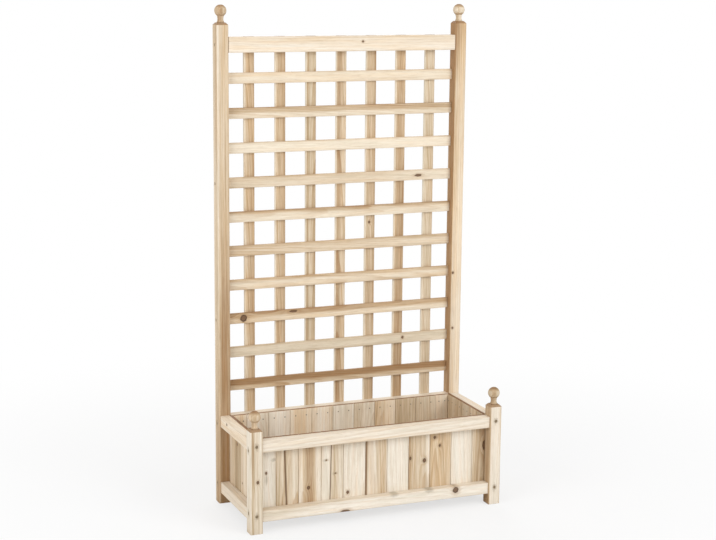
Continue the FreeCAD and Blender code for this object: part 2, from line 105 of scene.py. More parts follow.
def linear(shown: Colour) -> tuple[float, ...]:
    """A display colour as the linear colour that shader sockets take.

    Args:
        shown: Red, green and blue of 0 to 255, as a screen shows them.

    Returns:
        Linear red, green and blue, with an alpha of 1.
    """
    share = np.array(shown) / 255.0
    light = np.where(share <= 0.04045, share / 12.92, ((share + 0.055) / 1.055) ** 2.4)
    return (*light.tolist(), 1.0)


# ---------------------------------------------------------------- node graphs


def joined_by(operation: str) -> Callable[["Value", object], "Value"]:
    """A method that joins a value with another, or with a number, in a Math node."""
    return lambda value, other: value.graph.math(operation, value, other)


@dataclass(frozen=True, eq=False)
class Value:
    """What a node puts out, to reckon with as with a number."""

    graph: "Graph"
    socket: bpy.types.NodeSocket
    __add__ = joined_by("ADD")
    __sub__ = joined_by("SUBTRACT")
    __mul__ = joined_by("MULTIPLY")
    __truediv__ = joined_by("DIVIDE")
    __pow__ = joined_by("POWER")
    over = joined_by("MAXIMUM")
    under = joined_by("MINIMUM")


@dataclass
class Graph:
    """Adds shader nodes to one tree and wires them as they are made."""

    tree: Tree

    def node(self, kind: str, takes: dict[object, object] | None = None, **settings: object) -> bpy.types.Node:
        """A new shader node.

        Args:
            kind: Its type, without the leading ShaderNode.
            takes: Input name or number to a value of this graph, a number or a colour.
            settings: Its other properties.

        Returns:
            The node.
        """
        made = self.tree.nodes.new(f"ShaderNode{kind}")
        for name, setting in settings.items():
            setattr(made, name, setting)
        for name, value in (takes or {}).items():
            self.feed(made.inputs[name], value)
        return made

    def feed(self, socket: bpy.types.NodeSocket, value: object) -> None:
        """Links a socket to a value of this graph, or gives it a plain one."""
        if isinstance(value, Value):
            self.tree.links.new(value.socket, socket)
        else:
            socket.default_value = value

    def value(self, kind: str, output: object, takes: dict[object, object] | None = None, **settings: object) -> Value:
        """One output of a new node."""
        return Value(self, self.node(kind, takes, **settings).outputs[output])

    def math(self, operation: str, *values: object, clamp: bool = False) -> Value:
        """The result of a Math node."""
        return self.value("Math", 0, dict(enumerate(values)), operation=operation, use_clamp=clamp)

    def vector(self, operation: str, *values: object) -> Value:
        """The vector, or for a length the value, of a Vector Math node."""
        output = "Value" if operation == "LENGTH" else "Vector"
        return self.value("VectorMath", output, dict(enumerate(values)), operation=operation)

    def split(self, vector: Value) -> list[Value]:
        """The three parts of a vector."""
        return [Value(self, part) for part in self.node("SeparateXYZ", {0: vector}).outputs]

    def join(self, *parts: object) -> Value:
        """A vector from three parts."""
        return self.value("CombineXYZ", 0, dict(enumerate(parts)))

    def noise(self, place: object, scale: float, detail: float = 2.0, rough: float = 0.5) -> Value:
        """Smooth noise of 0 to 1 at a place."""
        takes = {"Vector": place, "Scale": scale, "Detail": detail, "Roughness": rough}
        return self.value("TexNoise", "Fac", takes, noise_dimensions="3D")

    def ramp(self, value: object, low: float, high: float, start: float = 0.0, end: float = 1.0) -> Value:
        """A smooth step: start below low, end above high."""
        takes = {"Value": value, "From Min": low, "From Max": high, "To Min": start, "To Max": end}
        return self.value("MapRange", "Result", takes, interpolation_type="SMOOTHSTEP")

    def fall(self, value: object, low: float, high: float) -> Value:
        """A smooth step down: 1 below low, 0 above high."""
        return self.ramp(value, low, high, 1.0, 0.0)

    def mix(self, share: object, below: object, above: object, blend: str = "MIX") -> Value:
        """Two colours mixed by a share of 0 to 1."""
        return self.value("Mix", 2, {0: share, 6: below, 7: above}, data_type="RGBA", blend_type=blend)

    def attribute(self, name: str, output: str = "Vector") -> Value:
        """What the mesh carries under a name."""
        return self.value("Attribute", output, attribute_name=name)

    def group(self, tree: Tree, **takes: object) -> list[Value]:
        """All outputs of a shared group that is placed in this tree with its own values."""
        return [Value(self, output) for output in self.node("Group", takes, node_tree=tree).outputs]

    def give(self, *values: Value) -> Tree:
        """Feeds the outputs of a group, in their order, and hands over its tree."""
        out = self.tree.nodes.new("NodeGroupOutput")
        for socket, value in zip(out.inputs, values):
            self.feed(socket, value)
        return self.tree


def new_graph(owner: bpy.types.Material | bpy.types.World) -> Graph:
    """The emptied node graph of a material or world."""
    owner.use_nodes = True
    owner.node_tree.nodes.clear()
    return Graph(owner.node_tree)


def new_group(name: str, gives: Sequence[str], **takes: str) -> tuple[Graph, list[Value]]:
    """An empty node group with named sockets.

    Args:
        name: The group's name.
        gives: Name of each output, a Float.
        takes: Name to kind, Float or Vector, of each input.

    Returns:
        A graph of the group, and its inputs in their order.
    """
    tree = bpy.data.node_groups.new(name, "ShaderNodeTree")
    for way, sockets in (("INPUT", takes), ("OUTPUT", dict.fromkeys(gives, "Float"))):
        for label, kind in sockets.items():
            tree.interface.new_socket(label, in_out=way, socket_type=f"NodeSocket{kind}")
    graph, source = Graph(tree), tree.nodes.new("NodeGroupInput")
    return graph, [Value(graph, source.outputs[label]) for label in takes]


def growth_rings() -> Tree:
    """Growth rings: the distance from the pith, bent a little, cut into years that darken and end sharply.

    Returns:
        A group from Grain (metres in the tree), Spacing, Wander and Bend to Late, the dark part of a year, and
        Year, one random value for each.
    """
    takes = {"Grain": "Vector", "Spacing": "Float", "Wander": "Float", "Bend": "Float"}
    graph, (grain, spacing, wander, bend) = new_group("growth_rings", ("Late", "Year"), **takes)
    along, across, through = graph.split(grain)
    slow = graph.join(along * 0.1, across, through)
    sway = graph.noise(slow, 14.0, 3.0, 0.55) - 0.5
    radius = graph.math("SQRT", across**2.0 + through**2.0)
    years = (radius + sway * wander + bend) / spacing + graph.noise(slow, 90.0, 1.0) * 0.6
    part = graph.math("FRACT", years)
    late = graph.ramp(part, 0.25, 0.9) * graph.fall(part, 0.93, 1.0)
    year = graph.value("TexWhiteNoise", "Value", {"W": graph.math("FLOOR", years)}, noise_dimensions="1D")
    return graph.give(late, year)


def drawn_fibres() -> Tree:
    """Fibres drawn out along the grain at three widths, soft changes of hue, and short resin flecks.

    Returns:
        A group from Grain to Fine, Stripe, Broad, Hue and Fleck.
    """
    graph, (grain,) = new_group("fibres", ("Fine", "Stripe", "Broad", "Hue", "Fleck"), Grain="Vector")
    still, aside = (0.0, 0.0, 0.0), (3.1, 0.7, 1.9)
    layers = ((0.03, still, 900.0, 3.0), (0.022, still, 230.0, 3.0), (0.1, still, 42.0, 2.0), (0.06, aside, 95.0, 2.0))
    given = []
    for stretch, shift, scale, detail in layers:
        drawn = graph.vector("MULTIPLY_ADD", grain, (stretch, 1.0, 1.0), shift)
        given.append(graph.noise(drawn, scale, detail, 0.6))
    takes = {"Vector": graph.vector("MULTIPLY", grain, (0.1, 1.0, 1.0)), "Scale": 420.0}
    fleck = graph.value("TexVoronoi", "Distance", takes, feature="F1", distance="EUCLIDEAN")
    return graph.give(*given, graph.fall(fleck, 0.06, 0.16))


def knot_in_wood() -> Tree:
    """A knot: a dark oval with rings of its own, a brown halo, and grain that flows round it.

    Returns:
        A group from Offset, in radii from the knot's middle, to Core, Rim, Halo and Swell.
    """
    graph, (offset,) = new_group("knot", ("Core", "Rim", "Halo", "Swell"), Offset="Vector")
    reach = graph.vector("LENGTH", offset) + (graph.noise(offset, 1.3, 2.0) - 0.5) * 0.8
    whorl = graph.math("SINE", reach * 19.0) * 0.06 + 0.94
    core = graph.fall(reach, 0.75, 1.05) * whorl
    rim = graph.ramp(reach, 0.5, 0.82) * graph.fall(reach, 0.9, 1.2)
    return graph.give(core, rim, graph.fall(reach, 0.8, 2.7), graph.math("EXPONENT", reach * -0.75))


def dark_streak() -> Tree:
    """A long dark streak in the wood, frayed at its sides and faded at its ends.

    Returns:
        A group from Place (half widths across, share of the length, strength) and Grain to Mask.
    """
    graph, (place, grain) = new_group("streak", ("Mask",), Place="Vector", Grain="Vector")
    across, along, strength = graph.split(place)
    fray = graph.noise(graph.vector("MULTIPLY", grain, (0.15, 1.0, 1.0)), 160.0, 2.0) * 0.8 - 0.4
    body = graph.fall(graph.math("ABSOLUTE", across + fray), 0.45, 1.45)
    return graph.give(body * graph.fall(graph.math("ABSOLUTE", along), 0.8, 1.1) * strength)


def grey_smudge() -> Tree:
    """A soft grey-brown mark that fades out from its middle, broken up by the fibres.

    Returns:
        A group from Offset, in radii from the mark's middle, and Fine fibres to Mask.
    """
    graph, (offset, fine) = new_group("smudge", ("Mask",), Offset="Vector", Fine="Float")
    reach = graph.vector("LENGTH", offset) + (graph.noise(offset, 1.1, 2.0) - 0.5) * 1.2
    return graph.give(graph.math("MULTIPLY", graph.fall(reach, 0.15, 1.25), fine * 0.8 + 0.5, clamp=True))


def saw_marks() -> Tree:
    """Marks that a saw or planer leaves across a board, patchy along it.

    Returns:
        A group from Grain and Pitch (metres between marks) to Height.
    """
    graph, (grain, pitch) = new_group("saw_marks", ("Height",), Grain="Vector", Pitch="Float")
    along, across, through = graph.split(grain)
    wave = graph.math("SINE", ((across + through) * 0.12 + along) / pitch * math.tau)
    return graph.give(wave * graph.ramp(graph.noise(grain, 9.0, 2.0), 0.42, 0.7))


@dataclass(frozen=True)
class WoodEffects:
    """The node groups that every timber finish shares."""

    rings: Tree = field(default_factory=growth_rings)
    fibres: Tree = field(default_factory=drawn_fibres)
    knot: Tree = field(default_factory=knot_in_wood)
    streak: Tree = field(default_factory=dark_streak)
    smudge: Tree = field(default_factory=grey_smudge)
    sawing: Tree = field(default_factory=saw_marks)


@dataclass(frozen=True)
class WoodFinish:
    """Bare softwood of one sub-assembly.

    The mesh tells where each point lay in the tree (grain), its tone, warmth and nearness to an edge (look), which
    faces are end grain (cut_end), up to two knots, two smudges and one streak.
    """

    name: str
    pale: Colour = (240, 232, 219)
    middle: Colour = (212, 194, 167)
    dark: Colour = (166, 134, 98)
    spacing: float = 3.4 * MM
    wander: float = 8 * MM
    late_share: float = 0.42
    stripe_share: float = 0.75
    broad_share: float = 0.5
    year_share: float = 0.12
    fibre_share: float = 0.40
    fleck_share: float = 0.25
    smudge_share: float = 0.62
    hue_share: float = 1.6
    saw_pitch: float = 2.6 * MM
    saw_height: float = 0.25
    end_share: float = 0.7
    roughness: float = 0.66
    bump_depth: float = 0.5 * MM

    def tone_colour(self, graph: Graph, tone: Value) -> Value:
        """Pale below a tone of 0, the middle colour at a half, dark at 1."""
        lower = graph.mix(graph.math("MULTIPLY", tone, 2.0, clamp=True), linear(self.pale), linear(self.middle))
        return graph.mix(graph.math("MULTIPLY_ADD", tone, 2.0, -1.0, clamp=True), lower, linear(self.dark))

    def tinted(self, graph: Graph, share: object, colour: Value, tint: Tint) -> Value:
        """The colour multiplied by a tint, by a share."""
        return graph.mix(share, colour, graph.mix(1.0, colour, linear(tint.value), "MULTIPLY"))

    def weathered(self, graph: Graph, colour: Value, fine: Value) -> Value:
        """The colour as it is; a finish with stains of its own adds them here."""
        return colour

    def build(self, effects: WoodEffects) -> bpy.types.Material:
        """The material, with its groups placed and wired.

        Args:
            effects: The shared node groups.

        Returns:
            A new material.
        """
        material = bpy.data.materials.new(self.name)
        graph = new_graph(material)
        grain, cut_end = graph.attribute("grain"), graph.attribute("cut_end", "Fac")
        tone, warmth, edge = graph.split(graph.attribute("look"))
        knots = [graph.group(effects.knot, Offset=graph.attribute(name)) for name in ("knot_a", "knot_b")]
        core, rim, halo, swell = (one.over(other) for one, other in zip(*knots))
        ring_takes = {"Spacing": self.spacing, "Wander": self.wander, "Bend": swell * 0.011}
        late, year = graph.group(effects.rings, Grain=grain, **ring_takes)
        fine, stripe, broad, hue, fleck = graph.group(effects.fibres, Grain=grain)
        (streak,) = graph.group(effects.streak, Place=graph.attribute("streak"), Grain=grain)
        (marks,) = graph.group(effects.sawing, Grain=grain, Pitch=self.saw_pitch)

        contrast = (tone * 1.3 + 0.38).over(0.3).under(1.0)
        for part, share in ((stripe, self.stripe_share), (broad, self.broad_share), (year, self.year_share)):
            tone = tone + (part - 0.5) * (contrast * share)
        colour = self.tone_colour(graph, tone.over(cut_end * 1.1).over(0.0).under(1.0))
        warmth = (hue - 0.5) * self.hue_share + warmth
        golden = graph.math("MULTIPLY", warmth.over(0.0), 0.8, clamp=True)
        grey = graph.math("MULTIPLY", (warmth * -1.0).over(0.0), 0.8, clamp=True)
        dark_years = late * ((year * 0.7 + 0.65) * (contrast * self.late_share))
        threads = graph.ramp(fine, 0.42, 0.75) * self.fibre_share
        tints = {Tint.GOLDEN: golden, Tint.GREY: grey, Tint.LATE_WOOD: dark_years, Tint.FIBRE: threads}
        for tint, share in tints.items():
            colour = self.tinted(graph, share, colour, tint)
        stains = [(fleck * self.fleck_share, Tint.RESIN)]
        for name in ("smudge_a", "smudge_b"):
            (mark,) = graph.group(effects.smudge, Offset=graph.attribute(name), Fine=fine)
            stains.append((mark * self.smudge_share, Tint.SMUDGE))
        stains += [(halo * 0.45, Tint.KNOT_HALO), (streak, Tint.STREAK)]
        stains += [(core * 0.95, Tint.KNOT), (rim * 0.82, Tint.KNOT_RIM)]
        for share, tint in stains:
            colour = graph.mix(share, colour, linear(tint.value))
        colour = self.tinted(graph, cut_end * self.end_share, colour, Tint.END_GRAIN)
        colour = self.weathered(graph, colour, fine)
        colour = self.tinted(graph, edge * (fine * 0.5 + 0.05), colour, Tint.FIBRE)

        height = fine * 0.55 + late * 0.30 + marks * self.saw_height - core * 0.5
        bump = graph.value("Bump", 0, {"Strength": 0.45, "Distance": self.bump_depth, "Height": height})
        roughness = fine * 0.12 + (self.roughness - 0.06) - core * 0.12
        takes = {"Base Color": colour, "Roughness": roughness, "Specular IOR Level": 0.3, "Normal": bump}
        graph.node("OutputMaterial", {"Surface": graph.value("BsdfPrincipled", 0, takes)})
        return material


@dataclass(frozen=True)
class ScrewedWoodFinish(WoodFinish):
    """Softwood with grey-brown stains round the screw heads, the same at all four posts."""

    across: tuple[float, float] = (0.343, 0.134)
    levels: tuple[tuple[float, float], ...] = ((0.0485, 0.2355), (0.0545, 0.2235))
    faces: tuple[float, float] = (0.1495, 0.3585)
    inner: float = 2.5 * MM
    reach: float = 9 * MM

    def weathered(self, graph: Graph, colour: Value, fine: Value) -> Value:
        """Adds the stains: the distance to the nearest head on the front or side faces, longer up and down.

        Args:
            graph: The material's graph.
            colour: The wood's colour.
            fine: The fibres, which the stain follows.

        Returns:
            The stained colour.
        """
        place = graph.value("TexCoord", "Object")
        x, y, z = graph.split(graph.vector("ABSOLUTE", place))
        for run, off, middle, levels, face in zip((x, y), (y, x), self.across, self.levels, self.faces):
            low, high = (graph.math("ABSOLUTE", z - level) for level in levels)
            flat = graph.vector("LENGTH", graph.join(run - middle, low.under(high) * 0.6, 0.0))
            ragged = graph.noise(place, 160.0, 2.0) * (9 * MM) - 4.5 * MM
            mask = graph.fall(flat + ragged, self.inner, self.reach) * graph.ramp(off, face - 1 * MM, face)
            colour = graph.mix(mask * (fine * 0.6 + 0.25), colour, linear(Tint.SCREW_STAIN.value))
        return colour


@dataclass(frozen=True)
class MetalFinish:
    """Plain fastener metal, a little dulled and mottled."""

    name: str
    bright: Colour
    dull: Colour
    roughness: float

    def build(self) -> bpy.types.Material:
        """The material.

        Returns:
            A new material on Object coordinates.
        """
        material = bpy.data.materials.new(self.name)
        graph = new_graph(material)
        place = graph.value("TexCoord", "Object")
        share = graph.ramp(graph.noise(place, 650.0, 3.0, 0.6), 0.35, 0.7)
        colour = graph.mix(share, linear(self.bright), linear(self.dull))
        scratch = graph.noise(graph.vector("MULTIPLY", place, (1.0, 1.0, 6.0)), 1400.0, 2.0)
        bump = graph.value("Bump", 0, {"Strength": 0.3, "Distance": 0.2 * MM, "Height": scratch})
        takes = {"Base Color": colour, "Metallic": 0.75, "Roughness": share * 0.22 + self.roughness, "Normal": bump}
        graph.node("OutputMaterial", {"Surface": graph.value("BsdfPrincipled", 0, takes)})
        return material


# ---------------------------------------------------------------- meshes


def put(name: str, data: bpy.types.ID) -> bpy.types.Object:
    """A new object in the scene, at the origin."""
    made = bpy.data.objects.new(name, data)
    bpy.context.scene.collection.objects.link(made)
    return made


def build_object(name: str, points: np.ndarray, faces: Faces, crease: float = 40.0) -> bpy.types.Object:
    """A mesh object at the origin, smooth but for edges sharper than an angle.

    Args:
        name: The object's name.
        points: Corner points, one row each, in metres.
        faces: Corner numbers of each face, outward side counter-clockwise.
        crease: Degrees between faces above which an edge stays sharp.

    Returns:
        The new object, in the scene.
    """
    mesh = bpy.data.meshes.new(name)
    mesh.from_pydata(points.tolist(), [], faces)
    mesh.validate()
    mesh.shade_smooth()
    mesh.set_sharp_from_angle(angle=math.radians(crease))
    return put(name, mesh)


def points_of(piece: bpy.types.Object) -> np.ndarray:
    """A mesh's points as rows of x, y and z."""
    flat = np.empty(len(piece.data.vertices) * 3, np.float32)
    piece.data.vertices.foreach_get("co", flat)
    return flat.reshape(-1, 3).astype(float)


def carry(piece: bpy.types.Object, name: str, vectors: np.ndarray) -> None:
    """Stores one vector for each point of a mesh under a name."""
    layer = piece.data.attributes.new(name, "FLOAT_VECTOR", "POINT")
    layer.data.foreach_set("vector", np.ascontiguousarray(vectors, np.float32).ravel())


def closed_tube(rings: int, around: int) -> Faces:
    """Faces of a tube of rings, each counter-clockwise about its run, with a flat cap at either end.

    Args:
        rings: How many rings.
        around: How many points in each.

    Returns:
        Four-sided faces from ring to ring, then the first and the last cap.
    """
    ring, step = np.meshgrid(np.arange(rings - 1), np.arange(around), indexing="ij")
    here, beside = ring * around + step, ring * around + (step + 1) % around
    sides = np.stack([here, beside, beside + around, here + around], -1).reshape(-1, 4)
    last = (rings - 1) * around
    return [*sides.tolist(), list(range(around))[::-1], list(range(last, last + around))]


def turned_points(profile: np.ndarray, around: int) -> np.ndarray:
    """Points of a surface of revolution: each radius and height of a profile, carried round +Z."""
    angle = np.linspace(0, math.tau, around, endpoint=False)
    flat = profile[:, None, :1] * np.stack([np.cos(angle), np.sin(angle)], -1)[None]
    return np.concatenate([flat, np.broadcast_to(profile[:, None, 1:], flat.shape[:2] + (1,))], -1)


def read_row(row: Sequence[float], place: np.ndarray) -> np.ndarray:
    """Values at places of 0 to 1, between the stops of a flat row of place and value in hundredths."""
    stops = np.array(row, float).reshape(-1, 2) / 100
    return np.interp(place, stops[:, 0], stops[:, 1])


def hash_shift(name: str) -> float:
    """A steady shift along the tree for a name, so that no two pieces share their grain."""
    return (sum(ord(letter) * (index + 3) for index, letter in enumerate(name)) % 997) * 0.037


@dataclass(frozen=True)
class Tip:
    """How a stick's end is dressed: how far from the end each ring lies, and how far it is drawn in, in metres."""

    rings: tuple[tuple[float, float], ...]

    @staticmethod
    def eased(radius: float) -> "Tip":
        """A sawn end whose corners are rounded off by a small radius."""
        turns = np.radians([0.0, 30.0, 60.0, 90.0])
        return Tip(tuple((radius * (1 - math.cos(t)), radius * (1 - math.sin(t))) for t in turns))

    @staticmethod
    def bevelled(size: float, soft: float = 0.5 * MM) -> "Tip":
        """A top with an even 45 degree bevel, its corners just softened."""
        low, high = (0.0, 0.15 * soft, soft), (size - soft, size, size + soft)
        return Tip(tuple(zip(low + high, (high + low)[2::-1] + (soft, 0.15 * soft, 0.0))))


@dataclass(frozen=True)
class Outline:
    """A rounded rectangle in cross-section, as factors of its half sizes and corner radius.

    A point is core * (half size - radius) + normal * radius, so every ring of a stick has matching points.
    """

    wide_steps: int
    thick_steps: int

    def factors(self) -> tuple[np.ndarray, np.ndarray]:
        """The core and normal factors, counter-clockwise from the corner at plus wide, plus thick.

        Returns:
            Two arrays of wide and thick factors, one row a point.
        """
        signs = np.array([(1, 1), (-1, 1), (-1, -1), (1, -1)], float)
        cores, normals = [], []
        for corner in range(4):
            turn = np.radians(90 * corner + np.array([0.0, 22.5, 45.0, 67.5, 90.0]))
            cores.append(np.tile(signs[corner], (5, 1)))
            normals.append(np.stack([np.cos(turn), np.sin(turn)], -1))
            steps = self.wide_steps if corner % 2 == 0 else self.thick_steps
            inner = np.concatenate([[0.04], np.linspace(0.14, 0.86, steps), [0.96]])[:, None]
            cores.append(signs[corner] * (1 - inner) + signs[(corner + 1) % 4] * inner)
            normals.append(np.tile(normals[-1][-1], (len(inner), 1)))
        return np.concatenate(cores), np.concatenate(normals)


@dataclass(frozen=True)
class Knot:
    """A knot or a smudge: millimetres along and across the wide face from a stick's middle, and its radius.

    Stretch is how many radii long it is, face is how far its middle lies through the stick, and depth its radius there.
    """

    along: float
    across: float
    radius: float
    stretch: float = 1.25
    face: float = 0.0
    depth: float = 1000.0

    def offset(self, place: np.ndarray) -> np.ndarray:
        """How many radii each point lies from the middle."""
        reach = np.array([self.radius * self.stretch, self.radius, self.depth])
        return (place - np.array([self.along, self.across, self.face]) * MM) / (reach * MM)


@dataclass(frozen=True)
class Streak:
    """A dark streak along a stick: how far across it lies at each end, its half width, in millimetres, its strength."""

    across_low: float
    across_high: float
    half_width: float
    strength: float

    def band(self, place: np.ndarray, length: float) -> np.ndarray:
        """Half widths from the streak's line, share of the length and strength at each point."""
        line = np.interp(place[:, 0], (-length / 2, length / 2), (self.across_low * MM, self.across_high * MM))
        across = (place[:, 1] - line) / (self.half_width * MM)
        return np.stack([across, place[:, 0] / length, np.full(len(place), self.strength)], -1)


@dataclass(frozen=True)
class Cut:
    """How one stick was cut from its tree and how its wood looks.

    Tones are a flat row of place and tone in hundredths, across the wide face. Run adds to them along the length. Side
    takes their place on the face where the width starts, changing by side_slope from its far edge to its near one.
    Pith is how far off the tree's middle lay, in millimetres, and tilt the slope of the grain against the stick.
    """

    tones: tuple[float, ...]
    warmth: float = 0.0
    pith: tuple[float, float] = (10, -60)
    knots: tuple[Knot, ...] = ()
    smudges: tuple[Knot, ...] = ()
    streak: Streak | None = None
    run: tuple[float, ...] = (0, 0)
    side: tuple[float, ...] = ()
    side_slope: float = 0.0
    tilt: tuple[float, float] = (0.01, 0.02)

    @staticmethod
    def random(rng: np.random.Generator, tone: float, warmth: float, spread: float = 0.12) -> "Cut":
        """A plain cut with its own grain and now and then a small knot.

        Args:
            rng: Where the differences come from.
            tone: The tone that it keeps near.
            warmth: The warmth that it keeps near.
            spread: How far its tones stray.

        Returns:
            A new cut.
        """
        stops = np.clip(tone + rng.normal(0, spread, 4), 0, 1) * 100
        turn, far = rng.uniform(0, math.tau), rng.uniform(20, 110)
        knots = ()
        if rng.random() < 0.45:
            knots = (Knot(rng.uniform(-90, 90), rng.uniform(-12, 12), rng.uniform(1.6, 4.2)),)
        return Cut(
            tuple(np.stack([(0, 30, 65, 100), stops], -1).ravel()),
            warmth + rng.normal(0, 0.25),
            (far * math.cos(turn), far * math.sin(turn)),
            knots,
            tilt=(rng.normal(0, 0.015), rng.normal(0, 0.02)),
        )


@dataclass(frozen=True)
class Stick:
    """One straight timber between two corners of its CAD box."""

    name: str
    low: Sequence[float]
    high: Sequence[float]
    along: Along
    wide: Along
    radius: float = 1.4 * MM
    uneven: float = 0.18 * MM
    outline: Outline = Outline(5, 2)
    start: Tip = Tip.eased(0.7 * MM)
    end: Tip = Tip.eased(0.7 * MM)
    spacing: float = 16 * MM

    def axes(self) -> np.ndarray:
        """Rows: along the length, across the wide face, and through the thickness, right-handed."""
        length, wide = self.along.towards(), self.wide.towards()
        return np.stack([length, wide, np.cross(length, wide)])

    def size(self) -> np.ndarray:
        """Length, width and thickness."""
        return np.abs(self.axes() @ (np.array(self.high) - np.array(self.low)))

    def middle(self) -> np.ndarray:
        """The middle of the box."""
        return (np.array(self.high) + np.array(self.low)) / 2

    def build(self, rng: np.random.Generator) -> bpy.types.Object:
        """The stick's mesh: rounded outlines carried along its length, drawn in at the ends and a little uneven.

        Args:
            rng: Where the unevenness comes from.

        Returns:
            The object, without its wood.
        """
        length, width, thick = self.size()
        start, end = np.array(self.start.rings), np.array(self.end.rings)
        first, last = start[:, 0].max(), end[:, 0].max()
        count = max(3, int((length - first - last) / self.spacing))
        run = np.linspace(first, length - last, count + 2)[1:-1]
        places = np.concatenate([start[:, 0], run, length - end[::-1, 0]])
        drawn = np.concatenate([start[:, 1], np.zeros(len(run)), end[::-1, 1]])[:, None]
        core, normal = self.outline.factors()
        radius = np.maximum(self.radius - drawn, 0.25 * MM)
        halves = np.array([width, thick]) / 2 - drawn
        flat = core[None] * (halves - radius)[:, None, :] + normal[None] * radius[:, :, None]
        turn = np.arctan2(normal[:, 1], normal[:, 0])[None]
        waves = sum(
            np.sin(math.tau * places[:, None] * rng.uniform(1.0, 9.0) + rng.uniform(0, 6) + turn * rng.integers(0, 3))
            for _ in range(4)
        )
        flat -= normal[None] * (self.uneven * (0.5 + waves / 8))[:, :, None]
        line = np.broadcast_to((places - length / 2)[:, None, None], flat.shape[:2] + (1,))
        points = np.concatenate([line, flat], -1).reshape(-1, 3) @ self.axes() + self.middle()
        return build_object(self.name, points, closed_tube(len(places), len(core)))

    def give_wood(self, piece: bpy.types.Object, cut: Cut) -> None:
        """Stores on the mesh where its points lay in the tree, their tone, and how far they are from knots.

        Args:
            piece: The finished mesh.
            cut: How it was cut and how it looks.
        """
        place = (points_of(piece) - self.middle()) @ self.axes().T
        length, width, thick = self.size()
        share, far = np.clip(place[:, 1] / width + 0.5, 0, 1), place[:, 0] / length + 0.5
        off = place[:, 1:] + place[:, :1] * np.array([cut.tilt]) + np.array([cut.pith]) * MM
        carry(piece, "grain", np.concatenate([place[:, :1] + hash_shift(self.name), off], 1))
        tone = read_row(cut.tones, share) + read_row(cut.run, far)
        if cut.side:
            own = read_row(cut.side, far) - cut.side_slope * place[:, 2] / thick
            tone = tone + (own - tone) * np.clip((0.05 - share) / 0.04, 0, 1)
        rim = np.hypot(np.maximum(width / 2 - abs(place[:, 1]), 0), np.maximum(thick / 2 - abs(place[:, 2]), 0))
        carry(piece, "look", np.stack([tone, np.full_like(tone, cut.warmth), np.exp(-rim / (1.1 * MM))], -1))
        nowhere = np.full_like(place, FAR)
        for family, marks in (("knot", cut.knots), ("smudge", cut.smudges)):
            for index, letter in enumerate("ab"):
                carry(piece, f"{family}_{letter}", marks[index].offset(place) if index < len(marks) else nowhere)
        carry(piece, "streak", cut.streak.band(place, length) if cut.streak else nowhere)
        normals = np.empty(len(piece.data.polygons) * 3, np.float32)
        piece.data.polygons.foreach_get("normal", normals)
        ends = abs(normals.reshape(-1, 3) @ self.axes()[0])
        layer = piece.data.attributes.new("cut_end", "FLOAT", "FACE")
        layer.data.foreach_set("value", np.where(ends > 0.45, ends, 0.0).astype(np.float32))


# ---------------------------------------------------------------- how each piece looks in the photograph

# Posts from their left side to their right, the side being the outer left face. Knobs the same way.
POST_CUTS = {
    "front_left_post": Cut(
        (0, 12, 8, 10, 13, 75, 20, 66, 27, 20, 34, 34, 42, 16, 55, 36, 66, 20, 85, 12, 100, 55), -0.25, (30, 50),
        knots=(Knot(0, 3, 3.6, face=-17, depth=6),), side=(0, 30, 10, 12, 100, 8),
    ),
    "front_right_post": Cut(
        (0, 78, 5, 72, 9, 20, 50, 4, 80, 10, 95, 30, 100, 35), -0.1, (-40, 50),
        # Its side, the inner left face, is a darker tone throughout and darkest towards its foot; the extra darkness at
        # the foot is painted shade.
        side=(0, 130, 9, 105, 16, 76, 100, 76),
    ),
    "rear_left_post": Cut(
        (0, 16, 6, 10, 14, 16, 24, 44, 50, 48, 80, 48, 100, 40), 0.08, (50, 30),
        run=(0, 55, 35, 40, 60, 15, 80, 6, 100, -5), side=(0, 75, 30, 42, 60, 34, 100, 55), side_slope=0.5,
        tilt=(0.004, -0.006),
    ),
    "rear_right_post": Cut(
        (0, 92, 6, 85, 10, 34, 30, 24, 60, 12, 100, 16), 0.42, (-50, -60),
        knots=(Knot(-52, -10, 3, face=-17, depth=8), Knot(-212, -8, 2.8, face=-17, depth=8)),
        # The run darkens this post towards its top: painted shade.
        run=(0, 0, 60, 2, 85, 24, 100, 54), tilt=(-0.003, 0.005),
    ),
}
KNOB_CUTS = {
    "front_left_finial": Cut((0, 40, 20, 50, 30, 62, 42, 50, 60, 36, 100, 45), -0.05, (6, 11)),
    "front_right_finial": Cut((0, 28, 12, 26, 20, 78, 40, 74, 50, 34, 80, 26, 100, 34), -0.6, (6, 11)),
    "rear_left_finial": Cut((0, 60, 16, 50, 26, 78, 42, 72, 54, 45, 100, 40), -0.05, (6, 11)),
    "rear_right_finial": Cut((0, 20, 18, 12, 26, 50, 36, 42, 48, 12, 80, 20, 100, 10), -0.05, (6, 11)),
}
# Long rails from their lower edge to their upper one.
RAIL_CUTS = {
    "front_bottom_rail": Cut(
        (0, 12, 12, -6, 60, -3, 90, 4, 100, 14), -0.2, (20, 70),
        knots=(Knot(228, 7, 8, 1.05), Knot(-95, -14.5, 5, 2.6)),
        smudges=(Knot(150, 14, 6, 2.6), Knot(47, 14, 6, 2.4)), run=(0, 20, 12, 16, 30, 0, 100, 0),
        tilt=(0.006, 0.01),
    ),
    "front_top_rail": Cut((0, 28, 20, 12, 50, 10, 100, 14), 0, (-30, 90), tilt=(-0.005, 0.012)),
}
OTHER_RAIL_TONES = {
    "left_top_rail": 0.15,
    "left_bottom_rail": 0.2,
    "right_top_rail": 0.2,
    "right_bottom_rail": 0.25,
    "back_top_rail": 0.25,
    "back_bottom_rail": 0.3,
}
